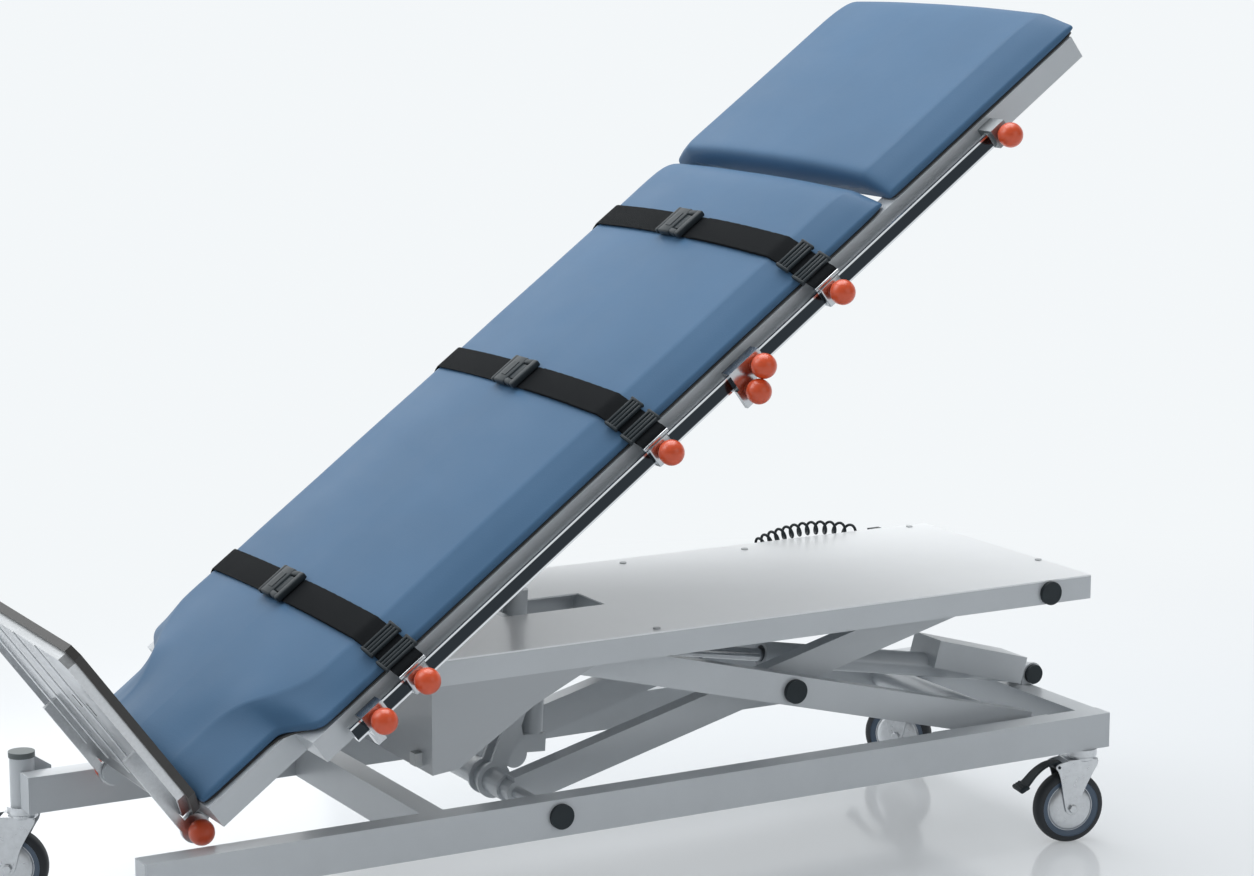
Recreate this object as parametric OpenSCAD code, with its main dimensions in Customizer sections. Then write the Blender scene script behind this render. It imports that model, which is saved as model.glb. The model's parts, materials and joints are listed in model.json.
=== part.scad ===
// Physiotherapy tilt table, drawn at real size in millimetres.
// A wheeled base carries a scissor lift, the lift carries a level deck, and the padded top tilts on the deck.
// X runs from the foot end to the head end, Z runs up from the floor, and the near side is the one with knobs.

/* [Base frame] */
// Length of the two base rails
base_length = 1740; // [1700:10:1900]
// Width over the outer faces of the base rails
base_width = 556; // [552:2:580]
// Width of a base rail tube
rail_w = 40; // [30:1:42]
// Height of a base rail tube
rail_h = 60; // [56:1:80]
// Wall of the welded tubes
tube_wall = 3; // [2:0.5:4]
// Foot cross tube, measured from the foot end of the rails
foot_cross_x = 456; // [380:4:520]

/* [Casters] */
// Wheel diameter over the tyre
wheel_d = 125; // [100:1:127]
// Width of the tyre
tyre_w = 30; // [24:1:34]
// Height from the floor to the underside of the base rails
caster_height = 164; // [164:1:190]
// Distance from the swivel axis back to the wheel axle
caster_trail = 24; // [18:1:30]

/* [Scissor lift] */
// Fixed lower pivot, measured from the foot end of the rails
pivot_x = 680; // [660:5:700]
// Horizontal distance between the lower and upper pivots with the table down
scissor_reach = 950; // [930:5:960]
// Height of the upper pivots over the lower ones with the table down
scissor_rise = 244; // [240:1:280]
// Turn of the arms from the lowest to the highest position, in degrees
lift_turn = 23.6; // [18:0.2:24]
// Height of an arm tube
arm_h = 50; // [40:1:52]
// Thickness of an arm tube across the table
arm_w = 30; // [24:1:31]
// Diameter of the lift pins
lift_pin_d = 20; // [16:1:22]

/* [Deck] */
// Deck length
deck_length = 1243; // [1230:1:1260]
// Deck width over the side channels
deck_width = 502; // [500:2:510]
// Distance from the foot end of the deck to the axis of the scissor pivot at the head end
deck_pivot_x = 1157; // [1150:1:1165]
// Thickness of the deck cover
cover_t = 3; // [2:0.5:4]

/* [Tabletop] */
// Tilt of the top in the pose drawn, in degrees above level
table_angle = 36.4; // [10:0.2:36.4]
// Length of the side rails of the top
table_length = 1670; // [1600:10:1760]
// Width over the side rails of the top
table_width = 672; // [660:2:700]
// Width and height of the tubes of the top
table_tube = 40; // [36:1:42]
// Length of the narrow foot section
foot_length = 167; // [150:1:180]
// Width over the tubes of the foot section
foot_width = 520; // [510:2:540]
// Length of the head cushion
head_length = 436; // [400:4:480]
// Thickness of the cushions at their crown
cushion_h = 57; // [50:1:70]

/* [Footplate] */
// Width of the footplate
plate_width = 540; // [500:2:560]
// Height of the footplate over the cushion board
plate_height = 335; // [300:1:360]
// Thickness of the footplate board
plate_t = 13; // [10:1:15]

/* [Fittings] */
// Diameter of the round clamping knobs
knob_d = 40; // [34:1:42]
// Width of the straps
strap_w = 50; // [40:1:60]
// Distance of the chest strap from the foot end of the side rails
chest_strap_s = 1068; // [1060:1:1076]
// Distance of the hip strap from the foot end of the side rails
hip_strap_s = 690; // [660:1:700]
// Distance of the shin strap from the foot end of the side rails
shin_strap_s = 179; // [176:1:190]

/* [Hidden] */
$fn = 40;

// Overrun of every cut
over = 1;
// Radial clearance of every pin in its bore
fit = 0.05;
// Space between facing surfaces of different moving bodies
gap = 0.3;
// Vent hole that keeps the inside of a closed tube open to the air
vent_d = 6;

// Heights and widths of the base
rail_z = caster_height;
rail_top = rail_z + rail_h;
rail_outer = base_width / 2;
rail_inner = rail_outer - rail_w;
base_cap_t = 3;
cross_w = 40;
post_d = 40;
post_x = 7;
post_y = rail_outer + post_d / 2;
post_rise = 20;
post_cap_d = 43;
post_cap_h = 9;
gusset_t = 6;
gusset_run = 28;

// Pivots of the scissor as pairs of X and Z
pivot_rise = 33;
base_pivot = [pivot_x, rail_z + pivot_rise];
deck_pivot = base_pivot + [scissor_reach, scissor_rise];
mid_pivot = (base_pivot + deck_pivot) / 2;
base_roller = [deck_pivot.x, base_pivot.y];
deck_roller = [base_pivot.x, deck_pivot.y];
arm_angle = atan2(scissor_rise, scissor_reach);
arm_length = norm([scissor_reach, scissor_rise]);
roller_travel = arm_length * (cos(arm_angle) - cos(arm_angle + lift_turn));

// Rollers and the channels that they run in
roller_d = 32.4;
roller_w = 20;
track_wall = 2.5;
track_margin = 30;
channel_h = roller_d + 2 * gap + 2 * track_wall;
base_track_depth = 28;
deck_track_depth = 40;
roller_side_gap = 2;

// Arms: the inner pair rises to the head end, the outer pair rises to the foot end
outer_arm_face = 200;
inner_arm_face = 130;
arm_hub_r = 16;
arm_end_r = 18;
arm_hollow_margin = 140;
inner_tube_d = 45;
upper_tube_d = 40;
upper_tube_back = 160;
outer_tube_d = 40;
outer_tube_back = 62;
spacer_d = 34;
cap_d = 40;
cap_t = 7;
mid_cap_t = 8;
boss_d = 34;

// Lift actuator
lift_y = -30;
lever_length = 235;
lever_t = 6;
lever_foot_r = 30;
lever_tip_r = 16;
actuator_pin_d = 12;
pin_head = 4;
rod_eye_w = 24;
rod_eye_r = 14;
lift_rod_d = 22;
lift_rod_length = 568;
lift_tube_d = 42;
lift_tube_length = 560;
housing_gap = 26;
lift_eye_w = 32;
rear_pivot = [base_length + 5, rail_top + 18];
bracket_foot = 18;
rear_eye_r = 17;
lift_tube_start = 40;
lift_neck_d = 30;
tube_floor = 8;
bracket_r = 20;
rear_cap_d = 34;
lever_mean = lever_length * (1 + cos(lift_turn / 2)) / 2;
to_rear = rear_pivot - base_pivot;
lift_slope = asin(lever_mean / norm(to_rear)) - atan2(to_rear.y, to_rear.x);
lever_angle = 90 - lift_slope - lift_turn / 2;
lever_tip = base_pivot + lever_length * [cos(lever_angle), sin(lever_angle)];
lift_bore_d = lift_rod_d + 2 * (lever_length - lever_mean) + 4 * gap;
housing_slope = 15.8;
housing_length = 218;
housing_h = 48;
housing_w = 80;
housing_start = 8;
housing_drop = 20;

// Deck
deck_x0 = deck_pivot.x - deck_pivot_x;
deck_x1 = deck_x0 + deck_length;
deck_rail_top = deck_pivot.y + channel_h / 2;
deck_rail_z = deck_pivot.y - channel_h / 2;
deck_top = deck_rail_top + cover_t;
deck_outer = deck_width / 2;
panel_drop = 179;
panel_t = 3;
// Outline of the gussets under the foot end, as shares of their length and drop
gusset_length = 284;
gusset_shares = [[0, 0], [0, 1], [0.16, 0.965], [0.26, 0.83], [0.62, 0.36], [0.96, 0.03], [1, 0]];
stringer_y = 75;
stringer_w = 15;
stringer_h = 30;
deck_end_w = 30;
slot_x = 227;
slot_length = 188;
slot_y0 = -42;
slot_y1 = 52;
cover_screw_d = 12;
cover_screw_t = 2;
// Cover screws as shares of the deck length and half width
cover_screw_shares = [[0.325, -0.97], [0.993, -0.47], [0.477, 0.91], [0.672, 0.89], [0.965, 0.98]];
switch_x = 12;
switch_y = -215;
switch_w = 20;
switch_h = 20;
switch_drop = 172;

// Tilt pivot and pillow blocks
tilt_pivot = [deck_x0 + 19, deck_top + 15];
tilt_pin_d = 16;
block_y = 170;
block_w = 40;
block_r = 18;
lug_eye_r = 14;
lug_t = 10;
lug_reach = 20;

// Tilt actuator: both ends lie at one distance from the tilt pivot, so its halves stay in line
tilt_y = 25;
tilt_arm = 360;
yoke_angle = 46;
table_lug_angle = 2.35;
yoke_pivot = tilt_pivot + tilt_arm * [cos(yoke_angle), -sin(yoke_angle)];
top_pivot_angle = table_angle + table_lug_angle;
top_pivot = tilt_pivot + tilt_arm * [cos(top_pivot_angle), sin(top_pivot_angle)];
tilt_slope = 90 + (top_pivot_angle - yoke_angle) / 2;
tilt_tube_d = 40;
tilt_tube_length = 272;
tilt_tube_floor = 26;
tilt_rod_d = 24;
tilt_rod_length = 265;
tilt_bore_d = tilt_rod_d + 4 * gap;
tilt_eye_w = 40;
yoke_t = 6;
yoke_r = 22;
yoke_x = 217;
yoke_bar_w = 30;
tilt_motor_d = 36;
tilt_motor_offset = 42;
tilt_motor_length = 130;
tilt_gear_h = 30;

// Top frame, in its own directions: s along the rails, h square to them, zero at their top foot corner
pivot_s = 257;
pivot_h = -78;
table_outer = table_width / 2;
table_inner = table_outer - table_tube;
foot_outer = foot_width / 2;
foot_inner = foot_outer - table_tube;
brace_w = 30;
brace_gap = 5;
brace_s = [660, 1100, 1640];
top_pivot_s = pivot_s + tilt_arm * cos(table_lug_angle);
top_pivot_h = pivot_h + tilt_arm * sin(table_lug_angle);

// Accessory rails and what clamps on them
bar_h = 25;
bar_t = 10;
bar_standoff = 18;
bar_drop = 12;
bar_s0 = 50;
bar_s1 = 1440;
bar_y = table_outer + bar_standoff;
bar_outer = bar_y + bar_t;
bar_mid_h = -bar_drop - bar_h / 2;
standoff_d = 12;
standoff_s = [80, 420, 760, 1010, 1400];
clamp_l = 40;
clamp_t = 9;
clamp_lip = 5.5;
clamp_lip_t = 5;
knob_stem_d = 8;
knob_neck_d = 20;
knob_reach = 31;
socket_l = 30;
socket_h = 34;

// Cushion and board sizes
board_t = 3;
board_inset = 4;
cushion_base = board_t;
cushion_edge_h = 10;
bevel_w = 100;
bevel_h = 50;
cushion_draw = 5;
cushion_gap = 16;
main_end_s = 1236;
foot_half = 252;
// Outline of the main cushion as shares: distance along it, half width and height, where a half width
// up to 1 is that of the foot part, and from 1 to 2 it grows to the full width of the top
main_shares = [[0, 0.965, 0.35], [0.004, 0.985, 0.72], [0.012, 0.997, 0.93], [0.04, 1, 1], [0.085, 1, 1],
    [0.1, 1.06, 1], [0.112, 1.25, 1], [0.124, 1.52, 1], [0.137, 1.78, 1], [0.151, 1.94, 1], [0.168, 2, 1],
    [0.4, 2, 1], [0.6, 2, 1], [0.8, 2, 1], [0.972, 2, 1], [0.984, 1.984, 0.96],
    [0.995, 1.945, 0.78], [1, 1.87, 0.42]];
head_shares = [[0, 0.968, 0.42], [0.012, 0.986, 0.78], [0.04, 0.998, 0.97], [0.09, 1, 1], [0.5, 1, 1],
    [0.92, 1, 1], [0.962, 0.998, 0.97], [0.988, 0.985, 0.78], [1, 0.955, 0.4]];
bevel_steps = 4;
crown_steps = 5;
bevel_swell = 3;

// Straps
web_t = 2;
web_gap = 1;
web_end_h = -5.6;
buckle_w = 52;
buckle_l = 62;
buckle_t = 10;
buckle_y = 6;
keeper_w = 56;
keeper_l = 16;
keeper_t = 6;
keeper_y = -292;
double_clamp_s = 877;
double_clamp_l = 64;
double_low_s = -17;
double_front_s = 15;
double_low_drop = 26;
foot_clamp_s = 92;
foot_clamp_drop = 26;
foot_clamp_block = 16;

// Footplate
plate_gap = 1.6;
tray_t = 14;
tray_wall = 2;
tray_inset = 6;
plate_drop = 20;
plate_chamfer_y = 71;
plate_chamfer_h = 59;
plate_corner = 15;
hinge_s = -190;
hinge_h = -50;
hinge_r = 23;
hinge_pin_d = 14;
hinge_arm_y = 172;
hinge_arm_t = 8;
hinge_arm_w = 14;
hinge_arm_top = 110;
hinge_lug_r = 20;
lug_gap = 4;

// Handset, its cord and the gland
handset_x = 1330;
handset_w = 52;
handset_t = 24;
handset_h = 150;
handset_top = 442;
handset_gap = 12;
hook_t = 3;
hook_w = 30;
rocker_w = 26;
rocker_h = 34;
rocker_t = 7;
rocker_sink = 4;
cord_d = 5;
cord_y = 268;
curl_r = 10.5;
curls = 13;
curl_rings = 8;
cord_sides = 6;
cord_span = 250;
cord_rise = 26;
cord_mid = [1475, 448];
cord_lead_share = 0.045;
gland_d = 14;
gland_l = 16;
gland_block = 24;

// Casters: place of each swivel axis and the direction that its wheel trails, in degrees
head_caster_x = base_length - 40;
head_caster_y = rail_outer - rail_w / 2;
foot_caster_x = 40;
post_caster = 1;
caster_turns = [200, 148, 168, 130];
caster_places = [[foot_caster_x, -head_caster_y], [post_x, post_y],
    [head_caster_x, -head_caster_y], [head_caster_x, head_caster_y]];
head_ring_d = 52;
head_ring_h = 12;
stem_d = 12;
crown_t = 4;
crown_r = 27;
fork_t = 3;
fork_gap = 2.5;
fork_eye_r = 13;
fork_ear_x = 50;
fork_ear_z = 137;
axle_d = 10;
axle_head = 5;
hub_d = 26;
rim_d = 82;
rim_w = 18;
brake_pin_d = 6;
brake_w = 22;
brake_reach = 62;
brake_t = 4;
brake_fall = 30;
pedal_l = 20;
pedal_w = 40;
pedal_t = 10;
shoe_r = 6;

// Origin: middle of the outer box, on the floor
foot_reach_x = table_x(hinge_s, plate_height);
head_reach_x = rear_pivot.x + bracket_r;
near_reach_y = bar_outer + knob_reach + knob_d / 2;
far_reach_y = bar_outer + gap + clamp_t;
origin = [(foot_reach_x + head_reach_x) / 2, (far_reach_y - near_reach_y) / 2];

function table_x(s, h) = tilt_pivot.x + (s - pivot_s) * cos(table_angle) - (h - pivot_h) * sin(table_angle);

// Colours
steel_paint = [0.62, 0.64, 0.66];
light_paint = [0.88, 0.9, 0.91];
dark_rubber = [0.17, 0.2, 0.21];
zinc = [0.72, 0.74, 0.76];
chrome_tone = [0.8, 0.81, 0.83];
orange_plastic = [0.88, 0.3, 0.15];
upholstery_blue = [0.36, 0.49, 0.65];
webbing_black = [0.08, 0.09, 0.1];

// Shared shapes

// Puts the design with its foot end at zero onto the origin of the part
module place() {
    translate([-origin.x, -origin.y, 0]) children();
}

// Draws in the directions of the tilted top
module on_table() {
    place() translate([tilt_pivot.x, 0, tilt_pivot.y]) rotate([0, -table_angle, 0])
        translate([-pivot_s, 0, -pivot_h]) children();
}

module both_sides() {
    children();
    mirror([0, 1, 0]) children();
}

// Box between two corners
module block(low, high) {
    translate(low) cube(high - low);
}

// Round bar along Y at a pair of X and Z
module bar_y(at, y0, y1, d) {
    translate([at.x, y0, at.y]) rotate([-90, 0, 0]) cylinder(h = y1 - y0, d = d);
}

// Plate with a flat outline in X and Z, between two values of Y
module plate_y(y0, y1) {
    translate([0, y1, 0]) rotate([90, 0, 0]) linear_extrude(y1 - y0) children();
}

// Profile with a flat outline in Y and Z, between two values of X
module plate_x(x0, x1) {
    translate([x0, 0, 0]) rotate([90, 0, 90]) linear_extrude(x1 - x0) children();
}

// Box tube along X with closed ends and a vent hole in its underside
module tube_x(low, high) {
    difference() {
        block(low, high);
        block(low + [tube_wall, tube_wall, tube_wall], high - [tube_wall, tube_wall, tube_wall]);
        translate([(low.x + high.x) / 2, (low.y + high.y) / 2, low.z - over])
            cylinder(h = tube_wall + 2 * over, d = vent_d);
    }
}

// Round clamping knob: a ball on a neck, with its stem in the piece that it clamps
module knob(at, face, side, stem) {
    reach = side * (face + gap);
    translate([at.x, reach, at.y]) rotate([-90 * side, 0, 0]) {
        cylinder(h = knob_reach - bar_t, d = knob_neck_d);
        translate([0, 0, knob_reach - clamp_t]) sphere(d = knob_d);
        translate([0, 0, -stem]) cylinder(h = stem + over, d = knob_stem_d);
    }
}

// C channel on the far side, open towards the middle
module channel(x0, x1, mid_z, face, depth) {
    low = mid_z - channel_h / 2;
    difference() {
        block([x0, face - depth, low], [x1, face, low + channel_h]);
        block([x0 - over, face - depth - over, low + track_wall],
            [x1 + over, face - track_wall, low + channel_h - track_wall]);
    }
}

// Base

module base_rails() {
    track_x0 = base_roller.x - roller_travel - track_margin;
    track_x1 = base_roller.x + track_margin;
    color(steel_paint) place() both_sides() difference() {
        union() {
            tube_x([0, rail_inner, rail_z], [base_length, rail_outer, rail_top]);
            channel(track_x0, track_x1, base_pivot.y, rail_inner, base_track_depth);
        }
        bar_y(base_pivot, rail_inner - over, rail_outer + over, lift_pin_d + 2 * fit);
    }
}

module base_cross_members() {
    color(steel_paint) place() {
        for (x = [foot_cross_x, base_length - cross_w])
            tube_x([x, -rail_inner, rail_z], [x + cross_w, rail_inner, rail_top]);
        rear_bracket();
    }
}

// Two plates on the head cross tube that hold the rear pin of the lift actuator
module rear_bracket() {
    for (side = [-1, 1]) {
        edge = lift_y + side * (lift_eye_w / 2 + gap);
        y0 = min(edge, edge + side * lever_t);
        plate_y(y0, y0 + lever_t) {
            translate(rear_pivot) circle(r = bracket_r);
            polygon([[base_length - bracket_foot, rail_top], [base_length, rail_top],
                rear_pivot + [bracket_r, 0], rear_pivot - [bracket_r, 0]]);
        }
    }
    reach = lift_eye_w / 2 + gap + lever_t;
    bar_y(rear_pivot, lift_y - reach, lift_y + reach, actuator_pin_d);
}

module foot_posts() {
    gusset_top = rail_top + post_rise;
    color(steel_paint) place() {
        difference() {
            translate([post_x, post_y, rail_z]) cylinder(h = gusset_top - rail_z, d = post_d);
            translate([post_x, post_y, rail_z - over]) cylinder(h = post_rise + over, d = stem_d + 2 * fit);
        }
        plate_y(post_y - gusset_t / 2, post_y + gusset_t / 2)
            polygon([[post_x + post_d / 2 - over, rail_z], [post_x + post_d / 2 - over, gusset_top],
                [post_x + post_d / 2 + gusset_run, rail_top], [post_x + post_d / 2 + gusset_run, rail_z]]);
        block([post_x + post_d / 2, rail_outer, rail_z],
            [post_x + post_d / 2 + gusset_run, post_y + gusset_t / 2, rail_z + gusset_t]);
    }
}

module base_caps() {
    color(dark_rubber) place() {
        translate([post_x, post_y, rail_top + post_rise]) cylinder(h = post_cap_h, d = post_cap_d);
        both_sides() {
            block([-base_cap_t, rail_inner, rail_z], [0, rail_outer, rail_top]);
            block([base_length, rail_inner, rail_z], [base_length + base_cap_t, rail_outer, rail_top]);
            bar_y(base_pivot, rail_outer, rail_outer + cap_t, cap_d);
        }
        for (side = [-1, 1]) {
            edge = lift_y + side * (lift_eye_w / 2 + gap + lever_t);
            y0 = min(edge, edge + side * cap_t);
            bar_y(rear_pivot, y0, y0 + cap_t, rear_cap_d);
        }
    }
}

// Casters, numbered as in caster_places

module at_caster(i) {
    place() translate([caster_places[i].x, caster_places[i].y, 0]) rotate([0, 0, caster_turns[i]]) children();
}

module caster_heads() {
    color(dark_rubber) for (i = [0:3]) at_caster(i) {
        translate([0, 0, caster_height - head_ring_h]) cylinder(h = head_ring_h, d = head_ring_d);
        if (i == post_caster)
            translate([0, 0, caster_height - over]) cylinder(h = post_rise, d = stem_d);
    }
}

module caster_fork(i) {
    crown_top = caster_height - head_ring_h - gap;
    leg_y = tyre_w / 2 + fork_gap;
    axle_z = wheel_d / 2;
    color(zinc) at_caster(i) {
        difference() {
            translate([0, 0, crown_top - crown_t]) cylinder(h = crown_t, r = crown_r);
            bar_y([fork_ear_x, fork_ear_z], -leg_y, leg_y, 2 * shoe_r);
        }
        both_sides() difference() {
            plate_y(leg_y, leg_y + fork_t) {
                translate([caster_trail, axle_z]) circle(r = fork_eye_r);
                polygon([[-crown_r * 0.6, crown_top], [crown_r * 0.8, crown_top],
                    [fork_ear_x + shoe_r, crown_top], [fork_ear_x + shoe_r, fork_ear_z - shoe_r],
                    [caster_trail + fork_eye_r, axle_z], [caster_trail - fork_eye_r, axle_z],
                    [-crown_r * 0.6, fork_ear_z - shoe_r]]);
            }
            bar_y([caster_trail, axle_z], leg_y - over, leg_y + fork_t + over, axle_d + 2 * fit);
            bar_y([fork_ear_x, fork_ear_z], leg_y - over, leg_y + fork_t + over, brake_pin_d + 2 * fit);
        }
    }
}

module caster_wheel(i) {
    axle = [caster_trail, wheel_d / 2];
    reach = tyre_w / 2 + fork_gap + fork_t;
    color([0.22, 0.24, 0.26]) at_caster(i) {
        difference() {
            bar_y(axle, -tyre_w / 2, tyre_w / 2, wheel_d);
            both_sides() bar_y(axle, rim_w / 2, tyre_w / 2 + over, rim_d);
        }
        bar_y(axle, -tyre_w / 2 - fork_gap + gap, tyre_w / 2 + fork_gap - gap, hub_d);
        bar_y(axle, -reach - gap - axle_head, reach + gap + axle_head, axle_d);
        both_sides() bar_y(axle, reach + gap, reach + gap + axle_head, axle_d * 1.6);
    }
}

// Brake pedal: a bent strip on a pin, with a shoe over the tyre and a tread for the foot
module caster_brake(i) {
    reach = tyre_w / 2 + fork_gap + fork_t;
    color(dark_rubber) at_caster(i) {
        bar_y([fork_ear_x, fork_ear_z], -reach, reach, brake_pin_d);
        bar_y([fork_ear_x, fork_ear_z], -tyre_w / 2, tyre_w / 2, 2 * shoe_r - 2 * gap);
        plate_y(-brake_w / 2, brake_w / 2)
            polygon([[fork_ear_x, fork_ear_z + shoe_r - gap],
                [fork_ear_x + brake_reach * 0.6, fork_ear_z - brake_fall * 0.3],
                [fork_ear_x + brake_reach, fork_ear_z - brake_fall],
                [fork_ear_x + brake_reach - brake_t, fork_ear_z - brake_fall - brake_t],
                [fork_ear_x + brake_reach * 0.55, fork_ear_z - brake_fall * 0.3 - brake_t],
                [fork_ear_x, fork_ear_z]]);
        block([fork_ear_x + brake_reach - pedal_l / 2, -pedal_w / 2, fork_ear_z - brake_fall - pedal_t],
            [fork_ear_x + brake_reach + pedal_l / 2, pedal_w / 2, fork_ear_z - brake_fall]);
    }
}

// Scissor lift

// One arm tube between two pivots, trimmed flat under the deck and over the floor side
module arm(from, angle, face, hollow_side) {
    intersection() {
        difference() {
            translate([from.x, 0, from.y]) rotate([0, -angle, 0]) {
                block([0, face - arm_w, -arm_h / 2], [arm_length, face, arm_h / 2]);
                bar_y([0, 0], face - arm_w, face, 2 * arm_end_r);
                bar_y([arm_length, 0], face - arm_w, face, 2 * arm_end_r);
            }
            translate([from.x, 0, from.y]) rotate([0, -angle, 0]) {
                block([arm_hollow_margin, face - arm_w + tube_wall, -arm_h / 2 + tube_wall],
                    [arm_length / 2 - arm_h, face - tube_wall, arm_h / 2 - tube_wall]);
                block([arm_length / 2 + arm_h, face - arm_w + tube_wall, -arm_h / 2 + tube_wall],
                    [arm_length - arm_hollow_margin, face - tube_wall, arm_h / 2 - tube_wall]);
                for (share = [0.25, 0.75])
                    translate([arm_length * share, face - arm_w / 2, -arm_h])
                        cylinder(h = arm_h, d = vent_d);
            }
        }
        block([base_pivot.x - arm_h, 0, base_pivot.y - arm_hub_r],
            [deck_pivot.x + arm_h, face + over, deck_pivot.y + arm_hub_r]);
    }
}

module inner_arm_frame() {
    inner_face = inner_arm_face - arm_w;
    upper_tube = deck_pivot - upper_tube_back * [cos(arm_angle), sin(arm_angle)];
    color(steel_paint) place() {
        both_sides() {
            difference() {
                arm(base_pivot, arm_angle, inner_arm_face);
                bar_y(mid_pivot, inner_face - over, inner_arm_face + over, lift_pin_d + 2 * fit);
            }
            bar_y(base_pivot, inner_arm_face - over, rail_outer - over, lift_pin_d);
            bar_y(deck_pivot, inner_arm_face - over, deck_outer - over, lift_pin_d);
        }
        bar_y(base_pivot, -inner_face - over, inner_face + over, inner_tube_d);
        bar_y(upper_tube, -inner_face - over, inner_face + over, upper_tube_d);
        lift_lever();
    }
}

// Pair of plates on the lower cross tube that the lift rod pushes
module lift_lever() {
    half = rod_eye_w / 2 + gap;
    side_step = (lever_tip_r - over) * [cos(lever_angle + 90), sin(lever_angle + 90)];
    for (side = [-1, 1]) {
        edge = lift_y + side * half;
        y0 = min(edge, edge + side * lever_t);
        plate_y(y0, y0 + lever_t) {
            translate(base_pivot) circle(r = lever_foot_r);
            translate(lever_tip) circle(r = lever_tip_r);
            polygon([base_pivot + side_step, base_pivot - side_step, lever_tip - side_step,
                lever_tip + side_step]);
        }
    }
    reach = half + lever_t + pin_head;
    bar_y(lever_tip, lift_y - reach, lift_y + reach, actuator_pin_d);
}

module outer_arm_frame() {
    inner_face = outer_arm_face - arm_w;
    low_tube = base_roller + outer_tube_back * [-cos(arm_angle), sin(arm_angle)];
    color(steel_paint) place() {
        both_sides() difference() {
            arm(deck_roller, -arm_angle, outer_arm_face);
            for (at = [deck_roller, mid_pivot, base_roller])
                bar_y(at, inner_face - over, outer_arm_face + over, lift_pin_d + 2 * fit);
        }
        bar_y(low_tube, -inner_face, inner_face, outer_tube_d);
    }
}

// Pins of the middle pivots, with a spacer between the arms and a cap outside
module mid_pivots() {
    inner_face = inner_arm_face - arm_w;
    color(dark_rubber) place() both_sides() {
        bar_y(mid_pivot, inner_face, outer_arm_face + over, lift_pin_d);
        bar_y(mid_pivot, inner_arm_face, outer_arm_face - arm_w - gap, spacer_d);
        bar_y(mid_pivot, outer_arm_face + gap, outer_arm_face + gap + mid_cap_t, cap_d);
    }
}

module base_roller_shaft() {
    y0 = rail_inner - track_wall - roller_side_gap - roller_w;
    color(zinc) place() {
        bar_y(base_roller, -y0, y0, lift_pin_d);
        both_sides() bar_y(base_roller, y0, y0 + roller_w, roller_d);
    }
}

// Roller on its stub axle in the foot end of an outer arm
module deck_roller_piece(side) {
    y1 = deck_outer - track_wall - roller_side_gap;
    color(zinc) place() mirror([0, side < 0 ? 1 : 0, 0]) {
        bar_y(deck_roller, outer_arm_face - arm_w, y1, lift_pin_d);
        bar_y(deck_roller, y1 - roller_w, y1, roller_d);
        bar_y(deck_roller, outer_arm_face + gap, outer_arm_face + gap + pin_head, spacer_d * 0.8);
    }
}

module lift_actuator() {
    tube_end = lift_tube_length;
    color(steel_paint) place() difference() {
        union() {
            bar_y(rear_pivot, lift_y - lift_eye_w / 2, lift_y + lift_eye_w / 2, 2 * rear_eye_r);
            translate([rear_pivot.x, lift_y, rear_pivot.y]) rotate([0, lift_slope - 90, 0]) {
                cylinder(h = lift_tube_start + over, d = lift_neck_d);
                translate([0, 0, lift_tube_start]) cylinder(h = tube_end - lift_tube_start, d = lift_tube_d);
            }
            translate([rear_pivot.x, lift_y, rear_pivot.y]) rotate([0, housing_slope, 0])
                block([-housing_start - housing_length, -housing_w / 2, -housing_drop],
                    [-housing_start - housing_gap, housing_w / 2, housing_h - housing_drop]);
        }
        bar_y(rear_pivot, lift_y - lift_eye_w, lift_y + lift_eye_w, actuator_pin_d + 2 * fit);
        translate([rear_pivot.x, lift_y, rear_pivot.y]) rotate([0, lift_slope - 90, 0])
            translate([0, 0, lift_tube_start + tube_floor]) cylinder(h = tube_end, d = lift_bore_d);
    }
}

module lift_rod() {
    color(chrome_tone) place() difference() {
        union() {
            bar_y(lever_tip, lift_y - rod_eye_w / 2, lift_y + rod_eye_w / 2, 2 * rod_eye_r);
            translate([lever_tip.x, lift_y, lever_tip.y]) rotate([0, 90 + lift_slope, 0])
                cylinder(h = lift_rod_length, d = lift_rod_d);
        }
        bar_y(lever_tip, lift_y - rod_eye_w, lift_y + rod_eye_w, actuator_pin_d + 2 * fit);
    }
}

// Deck

module deck_frame() {
    top = deck_rail_top;
    rail_face = deck_outer - track_wall;
    slot_x0 = deck_x0 + slot_x;
    color(steel_paint) place() {
        both_sides() difference() {
            union() {
                channel(deck_x0 + panel_t, deck_x1, deck_pivot.y, deck_outer, deck_track_depth);
                bar_y(deck_pivot, deck_outer - deck_track_depth, deck_outer, boss_d);
                block([deck_x0 + panel_t, stringer_y, top - stringer_h],
                    [deck_x1, stringer_y + stringer_w, top]);
            }
            bar_y(deck_pivot, deck_outer - deck_track_depth - over, deck_outer + over, lift_pin_d + 2 * fit);
        }
        for (x = [deck_x0 + panel_t, deck_x1 - deck_end_w])
            block([x, -rail_face, deck_rail_z], [x + deck_end_w, rail_face, top]);
        for (x = [deck_x0 + yoke_x, slot_x0 + slot_length + panel_t])
            block([x, -stringer_y, top - stringer_h], [x + yoke_bar_w, stringer_y, top]);
        tilt_yoke();
    }
}

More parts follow.
